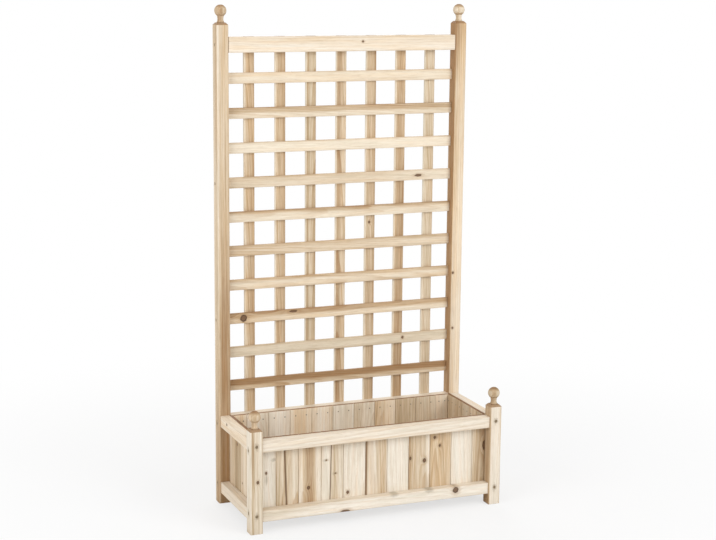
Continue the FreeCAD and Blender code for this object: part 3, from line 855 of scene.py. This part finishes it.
# Boards and uprights from the left, slats from the lowest, each slat from its lower edge to its upper one.
FRONT_BOARD_CUTS = (
    Cut(
        (0, 26, 12, 4, 30, -14, 50, -20, 60, 4, 64, -16, 80, 0, 100, 14), -0.2, (10, 50),
        knots=(Knot(14, -4, 2.6, 1.5),), smudges=(Knot(-4, -3.5, 3.8, 5), Knot(48, 16, 8, 0.8)),
    ),
    Cut(
        (0, 55, 10, 42, 20, 60, 30, 36, 38, 55, 46, 50, 60, 38, 80, 27, 92, 40, 100, 65), -0.1, (-20, 80),
        streak=Streak(-1.5, -9, 2.7, 0.92),
    ),
    Cut(
        (0, 10, 16, 18, 26, 62, 42, 78, 60, 80, 72, 45, 80, 14, 100, 8), 0.15, (20, 30),
        knots=(Knot(-38.6, -4, 4.2),),
    ),
    Cut(
        (0, 42, 10, 10, 30, 8, 46, 30, 60, 50, 75, 30, 86, 14, 100, 30), -0.2, (30, 90),
        knots=(Knot(31, -17.2, 2.2, 0.8), Knot(-7.6, 8.5, 2, 0.9)),
        smudges=(Knot(31, -18.7, 9, 0.55), Knot(-7.6, 7, 8.5, 0.6)), streak=Streak(-6.8, -2.2, 1.7, 0.92),
    ),
    Cut((0, 12, 20, 4, 50, 12, 80, 5, 100, 20), -0.15, (-30, 100), knots=(Knot(-64.3, -18.5, 3.8),)),
    Cut(
        (0, 62, 6, 50, 14, 14, 40, 16, 55, 42, 70, 36, 85, 50, 100, 34), 0.05, (20, 60),
        streak=Streak(-29, -28.5, 2.2, 0.8),
    ),
    Cut((0, 6, 50, 0, 80, 2, 100, 8), -0.1, (40, 100)),
    Cut(
        (0, 95, 7, 70, 16, 50, 45, 50, 70, 46, 82, 40, 88, 4, 96, 10, 100, 55), 0, (-20, 50),
        knots=(Knot(9.3, -26.4, 3, 1.6), Knot(-0.9, 15.2, 4.6, 1.3)),
        smudges=(Knot(9.3, -26.4, 7, 2), Knot(-0.9, 15.2, 9, 1.2)),
    ),
    Cut(
        (0, 60, 20, 46, 50, 50, 80, 54, 100, 34), 0.4, (15, 40),
        knots=(Knot(60.5, -18.2, 3.4), Knot(36.4, -2.8, 3)),
        smudges=(Knot(60.5, -18.2, 9, 0.8), Knot(36.4, -2.8, 6, 1.5)),
    ),
    Cut((0, 10, 30, 0, 70, 3, 100, 14), -0.1, (30, 90)),
    Cut((0, 25, 20, 48, 40, 66, 60, 48, 100, 74), -0.1, (-10, 30), knots=(Knot(24, 17.5, 5, 2.6),)),
)
SIDE_BOARD_LOOKS = ((0.42, -0.3), (0.52, -0.1), (0.36, 0.1), (0.62, -0.5), (0.46, -0.1))
BACK_BOARD_TONES = (0.08, 0.2, 0.4, 0.55)
# In most slat rows the last stop, at the upper edge and over the top face, is darker than the stop below it: painted
# shade on the top faces. The other stops are the wood's tone.
SLAT_CUTS = (
    Cut((0, 35, 38, 45, 46, 110, 90, 120, 100, 110), 0.1, (20, 50), run=(0, 5, 50, 0, 100, 0)),
    Cut((0, 30, 30, 10, 75, 14, 100, 45), -0.35, (50, 50), knots=(Knot(187, 2, 4, 0.9),)),
    Cut(
        (0, 20, 42, 12, 55, 66, 85, 70, 100, 85), 0.15, (-20, 50),
        knots=(Knot(-283, 0, 9.5, 1), Knot(-140, 9, 3.2, 3.5)), run=(0, 12, 45, 0, 100, -5),
    ),
    Cut((0, 42, 35, 20, 60, 14, 78, 50, 100, 65), 0.1, (10, 60)),
    Cut((0, 45, 40, 30, 70, 35, 100, 60), 0, (30, 40), run=(0, 12, 50, 0, 100, -8)),
    Cut((0, 14, 50, 12, 75, 35, 90, 75, 100, 80), -0.05, (0, 60)),
    Cut(
        (0, 30, 40, 25, 80, 30, 100, 50), -0.1, (40, 40), knots=(Knot(228, -1, 3.4, 3),),
        run=(0, 10, 60, 0, 100, -20),
    ),
    Cut((0, 10, 50, 0, 85, 6, 100, 40), -0.05, (50, 70)),
    Cut((0, 20, 45, 18, 58, 60, 90, 66, 100, 85), -0.1, (20, 50)),
    Cut((0, 25, 30, 10, 70, 6, 100, 30), 0.1, (60, 50)),
)
# The first three stops of every upright row give its left side face and left edge a tone below pale: painted light, as
# if lit strongly from the left. The later stops are the wood's tone.
UPRIGHT_CUTS = (
    Cut((0, -40, 3, -20, 10, 30, 30, 50, 70, 60, 100, 70), 0.2, (20, 40)),
    Cut((0, -40, 3, -20, 10, 50, 30, 62, 70, 60, 100, 85), 0.1, (30, 50), knots=(Knot(-330, 3, 2.4),)),
    Cut((0, -40, 3, -20, 10, 75, 25, 70, 40, 25, 60, 30, 75, 62, 100, 55), -0.4, (-20, 40)),
    Cut((0, -40, 3, -20, 10, 85, 40, 74, 55, 42, 100, 40), 0.05, (10, 50)),
    Cut(
        (0, -40, 3, -20, 10, 52, 30, 60, 55, 46, 80, 72, 100, 80), -0.1, (30, 40),
        knots=(Knot(12, -2, 3.2), Knot(237, 6, 2.2)),
    ),
    Cut((0, -40, 3, -20, 10, 66, 30, 80, 70, 78, 100, 68), 0.1, (-30, 50), run=(0, 5, 60, 0, 100, -6)),
    Cut((0, -40, 3, -20, 10, 50, 20, 25, 50, 45, 70, 30, 100, 50), -0.3, (20, 60)),
)


# ---------------------------------------------------------------- sub-assemblies


@dataclass
class Workshop:
    """What every sub-assembly needs: the finishes and a steady source of small differences."""

    materials: dict[str, bpy.types.Material]
    rng: np.random.Generator

    def corners(self, node: str) -> Spot:
        """Lowest and highest corner of a CAD node."""
        low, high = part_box(node)
        return np.array(low), np.array(high)

    def middle(self, node: str) -> np.ndarray:
        """The middle of a CAD node."""
        return sum(self.corners(node)) / 2

    def foot(self, node: str) -> np.ndarray:
        """The middle of a CAD node's underside."""
        return np.append(self.middle(node)[:2], self.corners(node)[0][2])

    def stick(self, node: str, along: Along, wide: Along, **settings: object) -> Stick:
        """A stick that fills a CAD node's box."""
        return Stick(f"{node}_wood", *self.corners(node), along, wide, **settings)

    def fit(self, piece: bpy.types.Object, material: str, slot: str, *nodes: str) -> None:
        """Gives a piece its finish and its place in the frame.

        Args:
            piece: The finished piece.
            material: Name of its finish.
            slot: A material slot name; not used.
            nodes: The CAD nodes it stands for.
        """
        piece.data.materials.clear()
        piece.data.materials.append(self.materials[material])
        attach(piece, "root")
        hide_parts(*nodes)
        LOG.info("%s: %d faces, for %s", piece.name, len(piece.data.polygons), ", ".join(nodes))

    def timber(self, stick: Stick, cut: Cut, family: str, node: str) -> None:
        """Builds a stick, gives it its wood and fits it in place of its node.

        Args:
            stick: Its place and shape.
            cut: How it looks.
            family: What its finish and its slot start with.
            node: The CAD node it stands for.
        """
        piece = stick.build(self.rng)
        stick.give_wood(piece, cut)
        self.fit(piece, f"{family}_softwood", f"{family}_timber", node)


@dataclass
class Fasteners:
    """Countersunk screws and flat head nails, placed by their head and the way they point."""

    head: float = 4.0 * MM
    shank: float = 1.9 * MM
    length: float = 59.5 * MM
    thread_pitch: float = 2.4 * MM
    recess_arm: float = 2.5 * MM
    recess_half: float = 0.62 * MM
    recess_depth: float = 1.1 * MM
    nail_head: float = 2.0 * MM
    nail_shank: float = 0.75 * MM

    def screw_shape(self) -> Shape:
        """A screw that points down -Z: a head with a cross recess, a taper, a threaded shank and a point.

        Returns:
            Its points and faces.
        """
        around, turns = 24, 72
        face = [(share * self.head, 0.0) for share in (0.12, 0.25, 0.4, 0.55, 0.7, 0.85, 0.96)]
        rim = [(self.head, -0.12 * MM), (self.head, -0.45 * MM), (self.shank, -2.6 * MM)]
        shaft = [(self.shank, height) for height in np.linspace(-3.5 * MM, 6 * MM - self.length, turns)]
        point = [(self.shank * 0.6, 3 * MM - self.length), (0.2 * MM, -self.length)]
        grid = turned_points(np.array(face + rim + shaft + point), around)
        top = grid[: len(face)]
        x, y = abs(top[:, :, 0]), abs(top[:, :, 1])
        recess = (np.minimum(x, y) < self.recess_half) & (np.maximum(x, y) < self.recess_arm)
        top[:, :, 2] -= np.where(recess, self.recess_depth, 0.0)
        shank = grid[len(face + rim) : -len(point)]
        angle = np.linspace(0, 1, around, endpoint=False)[None]
        thread = np.abs((shank[:, :, 2] / self.thread_pitch + angle) % 1.0 - 0.5) * 2
        shank[:, :, :2] *= (0.72 + 0.28 * thread)[:, :, None]
        return grid[::-1].reshape(-1, 3), closed_tube(len(grid), around)

    def nail_shape(self, length: float) -> Shape:
        """A nail that points down -Z, with a slightly domed head.

        Args:
            length: From the top of the head to the point.

        Returns:
            Its points and faces.
        """
        around, r, s = 10, self.nail_head, self.nail_shank
        profile = [(0.1 * MM, -length), (s, 2 * MM - length), (s, -0.9 * MM), (r, -0.6 * MM), (r * 0.8, 0.0)]
        return turned_points(np.array(profile), around).reshape(-1, 3), closed_tube(len(profile), around)

    def place(self, name: str, shape: Shape, spots: list[Spot], rng: np.random.Generator) -> bpy.types.Object:
        """Copies of one shape at many spots, each turned about its own line by chance.

        Args:
            name: The object's name.
            shape: Points and faces of one.
            spots: Where each head is and which way it points.
            rng: Where the turns come from.

        Returns:
            One object with them all.
        """
        points, faces = shape
        copies, all_faces = [], []
        for number, (spot, way) in enumerate(spots):
            spin = Matrix.Rotation(rng.uniform(0, math.tau), 3, "Z")
            aim = Vector(Along.Z.towards(-1.0)).rotation_difference(Vector(way)).to_matrix()
            copies.append(points @ np.array(aim @ spin).T + spot)
            all_faces += [[corner + number * len(points) for corner in face] for face in faces]
        return build_object(name, np.concatenate(copies), all_faces, 35.0)


@dataclass
class CornerPosts:
    """Four square posts with bevelled tops, sunk screw heads and turned knobs."""

    shop: Workshop
    fasteners: Fasteners
    half_x: float = 0.360
    half_y: float = 0.151
    size: float = 0.034
    sink: float = 0.0005
    bevel: float = 6 * MM
    edge_round: float = 3 * MM
    dowel_radius: float = 4 * MM
    dowel_length: float = 30 * MM

    def screw_spots(self) -> list[Spot]:
        """Head places and ways of the screws through the posts, as the CAD has them.

        Returns:
            One place and way a screw.
        """
        spots = []
        side_x, side_y = self.half_x - self.sink, self.half_y - self.sink
        post_x, post_y = self.half_x - self.size / 2, self.half_y - self.size / 2
        for node, shift in (("front_bottom_rail", 9 * MM), ("front_top_rail", -9 * MM)):
            level = self.shop.middle(node)[2]
            for x, y in ((-1, -1), (-1, 1), (1, -1), (1, 1)):
                spots.append((np.array([x * post_x, y * side_y, level + 3 * MM]), Along.Y.towards(-y)))
                spots.append((np.array([x * side_x, y * post_y, level + shift]), Along.X.towards(-x)))
        for node in ("trellis_top_rail", "trellis_slat_03", "trellis_slat_07"):
            _, depth, level = self.shop.middle(node)
            depth = post_y if node == "trellis_top_rail" else depth
            spots += [(np.array([x * side_x, depth, level]), Along.X.towards(-x)) for x in (-1, 1)]
        return spots

    def sink_heads(self, post: bpy.types.Object, spots: list[Spot], stick: Stick) -> None:
        """Cuts a countersink where each screw enters the post.

        Args:
            post: The post's mesh.
            spots: All screw heads.
            stick: The post's box.
        """
        low, high = np.array(stick.low) - 1 * MM, np.array(stick.high) + 1 * MM
        mine = [(spot, way) for spot, way in spots if np.all(spot > low) and np.all(spot < high)]
        profile = np.array([(1.0 * MM, -3.4 * MM), (4.15 * MM, -0.55 * MM), (4.35 * MM, 1.2 * MM)])
        around = 28
        sink = turned_points(profile, around).reshape(-1, 3), closed_tube(len(profile), around)
        cutter = self.fasteners.place("cutter", sink, mine, self.shop.rng)
        sinks = post.modifiers.new("sinks", "BOOLEAN")
        sinks.operation, sinks.object, sinks.solver = "DIFFERENCE", cutter, "EXACT"
        bpy.context.view_layer.update()
        shaped = bpy.data.meshes.new_from_object(post.evaluated_get(bpy.context.evaluated_depsgraph_get()))
        post.modifiers.clear()
        post.data = shaped
        bpy.data.objects.remove(cutter)
        shaped.shade_smooth()
        shaped.set_sharp_from_angle(angle=math.radians(40))

    def finial_profile(self) -> np.ndarray:
        """Radius and height of the knob from its foot to the small flat on its ball, in metres above the post.

        Returns:
            One row a ring.
        """
        foot = np.array([(0.3, 0.0), (9.4, 0.0), (9.9, 0.35), (10.0, 0.9), (9.95, 2.0), (9.6, 2.45)])
        share = np.linspace(0, 1, 22)[:, None]
        neck = np.array([9.4, 2.6]) + (np.array([9.1, 17.2]) - np.array([9.4, 2.6])) * share
        neck[:, 0] -= 1.5 * np.sin(np.pi * share[:, 0] ** 0.8)
        angle = np.radians(np.linspace(-54, 76.2, 40))
        ball = np.stack([15.9 * np.cos(angle), 30.5 + 15.9 * np.sin(angle)], -1)
        crown = np.array([(3.3, 45.97), (1.6, 46.0), (0.25, 46.0)])
        return np.concatenate([foot, neck, ball, crown]) * MM

    def finial(self, node: str, cut: Cut) -> None:
        """A turned knob on its post, with faint turning marks.

        Args:
            node: The CAD node it stands for.
            cut: How its wood looks.
        """
        profile, around = self.finial_profile(), 72
        grid = turned_points(profile, around)
        grid[:, :, :2] *= (1 - 0.004 * (0.5 + 0.5 * np.sin(profile[:, 1] / (0.55 * MM))))[:, None, None]
        points = grid.reshape(-1, 3) + self.shop.foot(node)
        piece = build_object(f"{node}_wood", points, closed_tube(len(profile), around), 50.0)
        self.shop.stick(node, Along.Z, Along.X).give_wood(piece, cut)
        self.shop.fit(piece, "turned_softwood", "turned_timber", node)

    def dowel(self, corner: str) -> None:
        """The fluted dowel that joins a knob to its post.

        Args:
            corner: Which corner's knob.
        """
        foot = self.shop.foot(f"{corner}_finial") - Along.Z.towards(self.dowel_length / 2)
        size, top, ease, around = self.dowel_radius, self.dowel_length, 0.6 * MM, 48
        profile = np.array([(size - ease, 0.0), (size, ease), (size, top - ease), (size - ease, top)])
        grid = turned_points(profile, around)
        grid[:, :, :2] *= 1 - 0.03 * (np.arange(around) % 4 == 0)[None, :, None]
        points = grid.reshape(-1, 3) + foot
        piece = build_object(f"{corner}_dowel_wood", points, closed_tube(len(profile), around))
        low, high = foot - np.array([size, size, 0.0]), foot + np.array([size, size, top])
        Stick(piece.name, low, high, Along.Z, Along.X).give_wood(piece, Cut((0, 20, 100, 35), 0.2))
        self.shop.fit(piece, "dowel_wood", "dowel_wood", "finial_dowels")

    def build(self) -> None:
        """All posts, knobs, dowels and the screws through the posts."""
        spots = self.screw_spots()
        shape = {"radius": self.edge_round, "outline": Outline(4, 4), "end": Tip.bevelled(self.bevel)}
        for node, cut in POST_CUTS.items():
            stick = self.shop.stick(node, Along.Z, Along.X, uneven=0.12 * MM, **shape)
            post = stick.build(self.shop.rng)
            self.sink_heads(post, spots, stick)
            stick.give_wood(post, cut)
            self.shop.fit(post, "post_softwood", "post_timber", node)
        for node, cut in KNOB_CUTS.items():
            self.finial(node, cut)
        screws = self.fasteners.place("rail_screws_metal", self.fasteners.screw_shape(), spots, self.shop.rng)
        self.shop.fit(screws, "zinc_screws", "screw_steel", "rail_screws")
        for corner in ("front_left", "front_right", "rear_left", "rear_right"):
            self.dowel(corner)


@dataclass
class BoxFrame:
    """The eight rails between the posts."""

    shop: Workshop
    radius: float = 1.6 * MM

    def build(self) -> None:
        """All rails."""
        others = {node: Cut.random(self.shop.rng, tone, 0.1, 0.06) for node, tone in OTHER_RAIL_TONES.items()}
        for node, cut in (RAIL_CUTS | others).items():
            along = Along.Y if node.startswith(("left", "right")) else Along.X
            stick = self.shop.stick(node, along, Along.Z, radius=self.radius, outline=Outline(4, 3))
            self.shop.timber(stick, cut, "rail", node)


@dataclass
class Boards:
    """Upright boards on the inner faces of the rails, with the nails that hold them."""

    shop: Workshop
    gap: float = 0.5 * MM
    radius: float = 0.9 * MM
    side_first: float = 37 * MM
    side_pitch: float = 48 * MM
    back_end: float = 37.5 * MM
    back_pitch: float = 63 * MM
    nails: list[Spot] = field(default_factory=list)

    def add_nails(self, stick: Stick, face: Along, sign: float) -> None:
        """Two nails at each rail, driven from inside the box.

        Args:
            stick: The board.
            face: The axis that the nails run along.
            sign: Which way they point.
        """
        low, high = np.array(stick.low), np.array(stick.high)
        inner = low if sign > 0 else high
        for rail in ("front_bottom_rail", "front_top_rail"):
            for share in (0.25, 0.75):
                spot = low + share * (high - low)
                spot[face.value] = inner[face.value] - sign * 0.15 * MM
                spot[2] = self.shop.middle(rail)[2] - 3 * MM
                self.nails.append((spot, face.towards(sign)))

    def wall(self, wall: str, run: Along, spans: Spans, cuts: Sequence[Cut], sign: float) -> None:
        """One wall of boards side by side.

        Args:
            wall: Which wall.
            run: The axis that the boards follow each other along.
            spans: Where each board starts and ends along the run.
            cuts: How each board looks.
            sign: Which way its nails point along the wall's normal.
        """
        for number, ((start, end), cut) in enumerate(zip(spans, cuts), 1):
            node = f"front_board_{number:02d}" if wall == "front" else f"{wall}_boards"
            low, high = self.shop.corners(node)
            low[run.value], high[run.value] = start, end
            high[2] -= self.shop.rng.uniform(0.0, 0.5) * MM
            name = f"{wall}_board_{number:02d}_wood"
            stick = Stick(name, low, high, Along.Z, run, self.radius, 0.2 * MM, Outline(9, 2))
            self.shop.timber(stick, cut, "board", node)
            self.add_nails(stick, Along.Y if run is Along.X else Along.X, sign)

    def spans(self, start: float, widths: Sequence[float]) -> Spans:
        """Where each board of a row starts and ends, with an open joint after each."""
        edges = start + np.cumsum([0.0, *widths])
        return [(edge, after - self.gap) for edge, after in zip(edges[:-1], edges[1:])]

    def build(self) -> None:
        """All four walls."""
        rng = self.shop.rng
        boxes = [self.shop.corners(f"front_board_{number:02d}") for number in range(1, len(FRONT_BOARD_CUTS) + 1)]
        self.wall("front", Along.X, [(low[0], high[0]) for low, high in boxes], FRONT_BOARD_CUTS, -1.0)
        for wall, sign in (("left", -1.0), ("right", 1.0)):
            spans = self.spans(self.shop.corners(f"{wall}_boards")[0][1], [self.side_first] + [self.side_pitch] * 4)
            cuts = [Cut.random(rng, tone, warmth, 0.08) for tone, warmth in SIDE_BOARD_LOOKS]
            self.wall(wall, Along.Y, spans, cuts, sign)
        widths = [self.back_end] + [self.back_pitch] * 9 + [self.back_end]
        spans = self.spans(self.shop.corners("back_boards")[0][0], widths)
        cuts = [Cut.random(rng, rng.choice(BACK_BOARD_TONES), rng.normal(0, 0.3), 0.1) for _ in widths]
        self.wall("back", Along.X, spans, cuts, 1.0)


@dataclass
class Trellis:
    """Slats in front of uprights, under a rail, between the rear posts."""

    shop: Workshop
    fasteners: Fasteners
    nails: list[Spot] = field(default_factory=list)
    rail_nails: list[Spot] = field(default_factory=list)

    def build(self) -> None:
        """The rail, the slats, the uprights and the nails at their crossings."""
        rng = self.shop.rng
        stick = self.shop.stick("trellis_top_rail", Along.X, Along.Z, radius=1.6 * MM, outline=Outline(4, 3))
        self.shop.timber(stick, Cut.random(rng, 0.2, 0.2, 0.05), "rail", "trellis_top_rail")
        shape = {"radius": 1.2 * MM, "outline": Outline(4, 2)}
        slats = [f"trellis_slat_{number:02d}" for number in range(1, len(SLAT_CUTS) + 1)]
        for node, cut in zip(slats, SLAT_CUTS):
            stick = self.shop.stick(node, Along.X, Along.Z, uneven=0.25 * MM, **shape)
            self.shop.timber(stick, cut, "lattice", node)
        for number, cut in enumerate(UPRIGHT_CUTS, 1):
            node = f"trellis_upright_{number}"
            low, high = self.shop.corners(node)
            name, top = f"{node}_wood", high - Along.Y.towards(0.25 * MM)
            self.shop.timber(Stick(name, low, top, Along.Z, Along.X, uneven=0.2 * MM, **shape), cut, "lattice", node)
            middle = (low[0] + high[0]) / 2
            for nails, nodes in ((self.nails, slats), (self.rail_nails, ("back_top_rail", "trellis_top_rail"))):
                levels = [self.shop.middle(held)[2] for held in nodes]
                nails += [(np.array([middle, high[1], level]), Along.Y.towards(-1.0)) for level in levels]
        small = self.fasteners.place("trellis_nails_metal", self.fasteners.nail_shape(16 * MM), self.nails, rng)
        self.shop.fit(small, "bright_nails", "nail_steel", "trellis_nails")


@dataclass
class Floor:
    """Slats that carry the pot, on two bearers screwed to the long rails."""

    shop: Workshop
    count: int = 9
    width: float = 63 * MM
    screw_level: float = 0.036
    nails: list[Spot] = field(default_factory=list)

    def build(self) -> None:
        """Bearers, floor slats and their screws."""
        rng = self.shop.rng
        bearers = {node: self.shop.corners(node) for node in ("front_bearer", "back_bearer")}
        for node in bearers:
            stick = self.shop.stick(node, Along.X, Along.Z, radius=1.6 * MM, outline=Outline(3, 3))
            self.shop.timber(stick, Cut.random(rng, 0.35, 0.1, 0.06), "floor", node)
        low, high = self.shop.corners("floor_slats")
        pitch = (high[0] - low[0] - self.width) / (self.count - 1)
        for number in range(self.count):
            start, end = low.copy(), high.copy()
            start[0] = low[0] + number * pitch
            end[0] = start[0] + self.width
            name = f"floor_slat_{number + 1}_wood"
            stick = Stick(name, start, end, Along.Y, Along.X, 1.3 * MM, 0.25 * MM, Outline(7, 2))
            cut = Cut.random(rng, rng.uniform(0.15, 0.6), 0.1, 0.1)
            self.shop.timber(stick, cut, "floor", "floor_slats")
            for box in bearers.values():
                spot = np.array([(start[0] + end[0]) / 2, (box[0][1] + box[1][1]) / 2, end[2] + 0.15 * MM])
                self.nails.append((spot, Along.Z.towards(-1.0)))
        gaps = [low[0] + (index + 1) * pitch - (pitch - self.width) / 2 for index in (0, 2, 4, 6)]
        spots = []
        for depth, sign in ((bearers["front_bearer"][1][1], -1.0), (bearers["back_bearer"][0][1], 1.0)):
            places = [np.array([x, depth + sign * 0.1 * MM, self.screw_level]) for x in gaps]
            spots += [(place, Along.Y.towards(sign)) for place in places]
        short = Fasteners(length=39.5 * MM)
        screws = short.place("bearer_screws_metal", short.screw_shape(), spots, rng)
        self.shop.fit(screws, "zinc_screws", "screw_steel", "bearer_screws")


# ---------------------------------------------------------------- studio


@dataclass(frozen=True)
class Lamp:
    """A large soft square lamp that hangs at a place and points at a height above the middle of the floor."""

    name: str
    place: Point
    aim: float
    size: float
    power: float

    def build(self) -> None:
        """Hangs the lamp."""
        data = bpy.data.lights.new(self.name, "AREA")
        data.shape, data.size, data.energy = "SQUARE", self.size, self.power
        made = put(self.name, data)
        made.location = self.place
        made.rotation_euler = (Vector((0, 0, self.aim)) - Vector(self.place)).to_track_quat("-Z", "Y").to_euler()


@dataclass(frozen=True)
class Studio:
    """A plain pale floor, soft lamps and the photograph's camera."""

    lens: float = 81.807
    yaw: float = 0.38957
    pitch: float = 0.18892
    roll: float = 0.00922
    place: Point = (-1.62994, -3.95807, 1.4675)
    sensor: float = 36.0
    sky_strength: float = 0.55
    floor_half: float = 30.0
    floor_lift: float = 0.68
    lamps: tuple[Lamp, ...] = (
        Lamp("key", (1.9, -3.4, 2.6), 0.6, 2.2, 88),
        Lamp("fill", (-3.2, -1.4, 1.8), 0.6, 2.4, 62),
        Lamp("top", (0.0, 0.6, 3.6), 0.4, 2.4, 14),
        Lamp("back", (0.6, 3.4, 2.2), 0.6, 2.4, 42),
    )

    def camera(self) -> None:
        """A camera fitted to the edges of the posts, rails and slats in the photograph."""
        data = bpy.data.cameras.new("camera")
        data.lens, data.sensor_width, data.clip_end = self.lens, self.sensor, 60.0
        made = put("camera", data)
        ahead = math.cos(self.pitch)
        look = np.array([math.sin(self.yaw) * ahead, math.cos(self.yaw) * ahead, -math.sin(self.pitch)])
        right = np.array([math.cos(self.yaw), -math.sin(self.yaw), 0.0])
        up = np.cross(right, look)
        turned_right = math.cos(self.roll) * right + math.sin(self.roll) * up
        turned_up = math.cos(self.roll) * up - math.sin(self.roll) * right
        turn = Matrix(np.stack([turned_right, turned_up, -look], 1).tolist())
        made.matrix_world = Matrix.Translation(self.place) @ turn.to_4x4()
        bpy.context.scene.camera = made

    def seen(self, graph: Graph) -> Value:
        """1 for the camera's rays and those that come by way of metal or glass, 0 for light that falls on things."""
        path = graph.node("LightPath")
        kinds = ("Camera", "Glossy", "Transmission")
        camera, glossy, clear = (Value(graph, path.outputs[f"Is {kind} Ray"]) for kind in kinds)
        return camera.over(glossy.over(clear))

    def floor(self) -> None:
        """A wide floor that keeps the shadow and is lifted towards white where it is seen."""
        points = np.array([(-1, -1, 0), (1, -1, 0), (1, 1, 0), (-1, 1, 0)], float) * self.floor_half
        made = build_object("studio_floor", points, [[0, 1, 2, 3]])
        material = bpy.data.materials.new("studio_floor")
        graph = new_graph(material)
        away = graph.vector("LENGTH", graph.value("TexCoord", "Object"))
        share = self.seen(graph) * graph.ramp(away, 0.5, 1.9, self.floor_lift, 1.0)
        matt = graph.value("BsdfDiffuse", 0, {"Color": (0.8, 0.8, 0.8, 1.0)})
        white = graph.value("Emission", 0, {"Color": WHITE})
        graph.node("OutputMaterial", {"Surface": graph.value("MixShader", 0, {0: share, 1: matt, 2: white})})
        made.data.materials.append(material)

    def world(self) -> None:
        """An even sky that shows white behind the object."""
        world = bpy.data.worlds.new("studio")
        bpy.context.scene.world = world
        graph = new_graph(world)
        sky = graph.value("Background", 0, {"Color": WHITE, "Strength": self.sky_strength})
        white = graph.value("Background", 0, {"Color": WHITE, "Strength": 1.0})
        mixed = graph.value("MixShader", 0, {0: self.seen(graph), 1: sky, 2: white})
        graph.node("OutputWorld", {"Surface": mixed})

    def build(self) -> None:
        """Camera, lamps, floor and sky."""
        self.camera()
        for lamp in self.lamps:
            lamp.build()
        self.floor()
        self.world()
        bpy.context.scene.view_settings.view_transform = "Standard"


TURNED_COLOURS = {"pale": (236, 225, 206), "middle": (206, 184, 154), "dark": (154, 120, 84)}
LATTICE_COLOURS = {"pale": (236, 225, 206), "middle": (208, 187, 158)}
FINISHES = (
    ScrewedWoodFinish("post_softwood", spacing=3.0 * MM),
    WoodFinish("rail_softwood", spacing=3.4 * MM, stripe_share=0.55),
    WoodFinish("board_softwood", spacing=4.2 * MM),
    WoodFinish("lattice_softwood", spacing=2.6 * MM, saw_height=0.5, roughness=0.72, **LATTICE_COLOURS),
    WoodFinish("floor_softwood", pale=(232, 218, 196), spacing=3.8 * MM, saw_height=0.45),
    WoodFinish("turned_softwood", spacing=2.4 * MM, wander=3 * MM, saw_height=0.0, end_share=0.0, **TURNED_COLOURS),
    WoodFinish("dowel_wood", pale=(226, 206, 174), spacing=2.0 * MM, wander=2 * MM, saw_height=0.0),
)
METALS = (
    MetalFinish("zinc_screws", (172, 156, 130), (120, 104, 80), 0.46),
    MetalFinish("bright_nails", (150, 144, 134), (104, 96, 84), 0.42),
)


def main() -> None:
    """Builds the planter round its frame, part by part."""
    logging.basicConfig(level=logging.INFO, format="%(name)s: %(message)s")
    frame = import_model()
    LOG.info("the frame has %d nodes", len(frame["nodes"]))
    effects = WoodEffects()
    materials = {finish.name: finish.build(effects) for finish in FINISHES}
    materials |= {finish.name: finish.build() for finish in METALS}
    shop = Workshop(materials, np.random.default_rng(11))
    fasteners = Fasteners()
    boards, trellis, floor = Boards(shop), Trellis(shop, fasteners), Floor(shop)
    for assembly in (CornerPosts(shop, fasteners), BoxFrame(shop), boards, trellis, floor):
        assembly.build()
    nails = boards.nails + trellis.rail_nails + floor.nails
    nailed = fasteners.place("board_nails_metal", fasteners.nail_shape(22 * MM), nails, shop.rng)
    shop.fit(nailed, "bright_nails", "nail_steel", "board_nails")
    Studio().build()


if __name__ == "__main__":
    main()
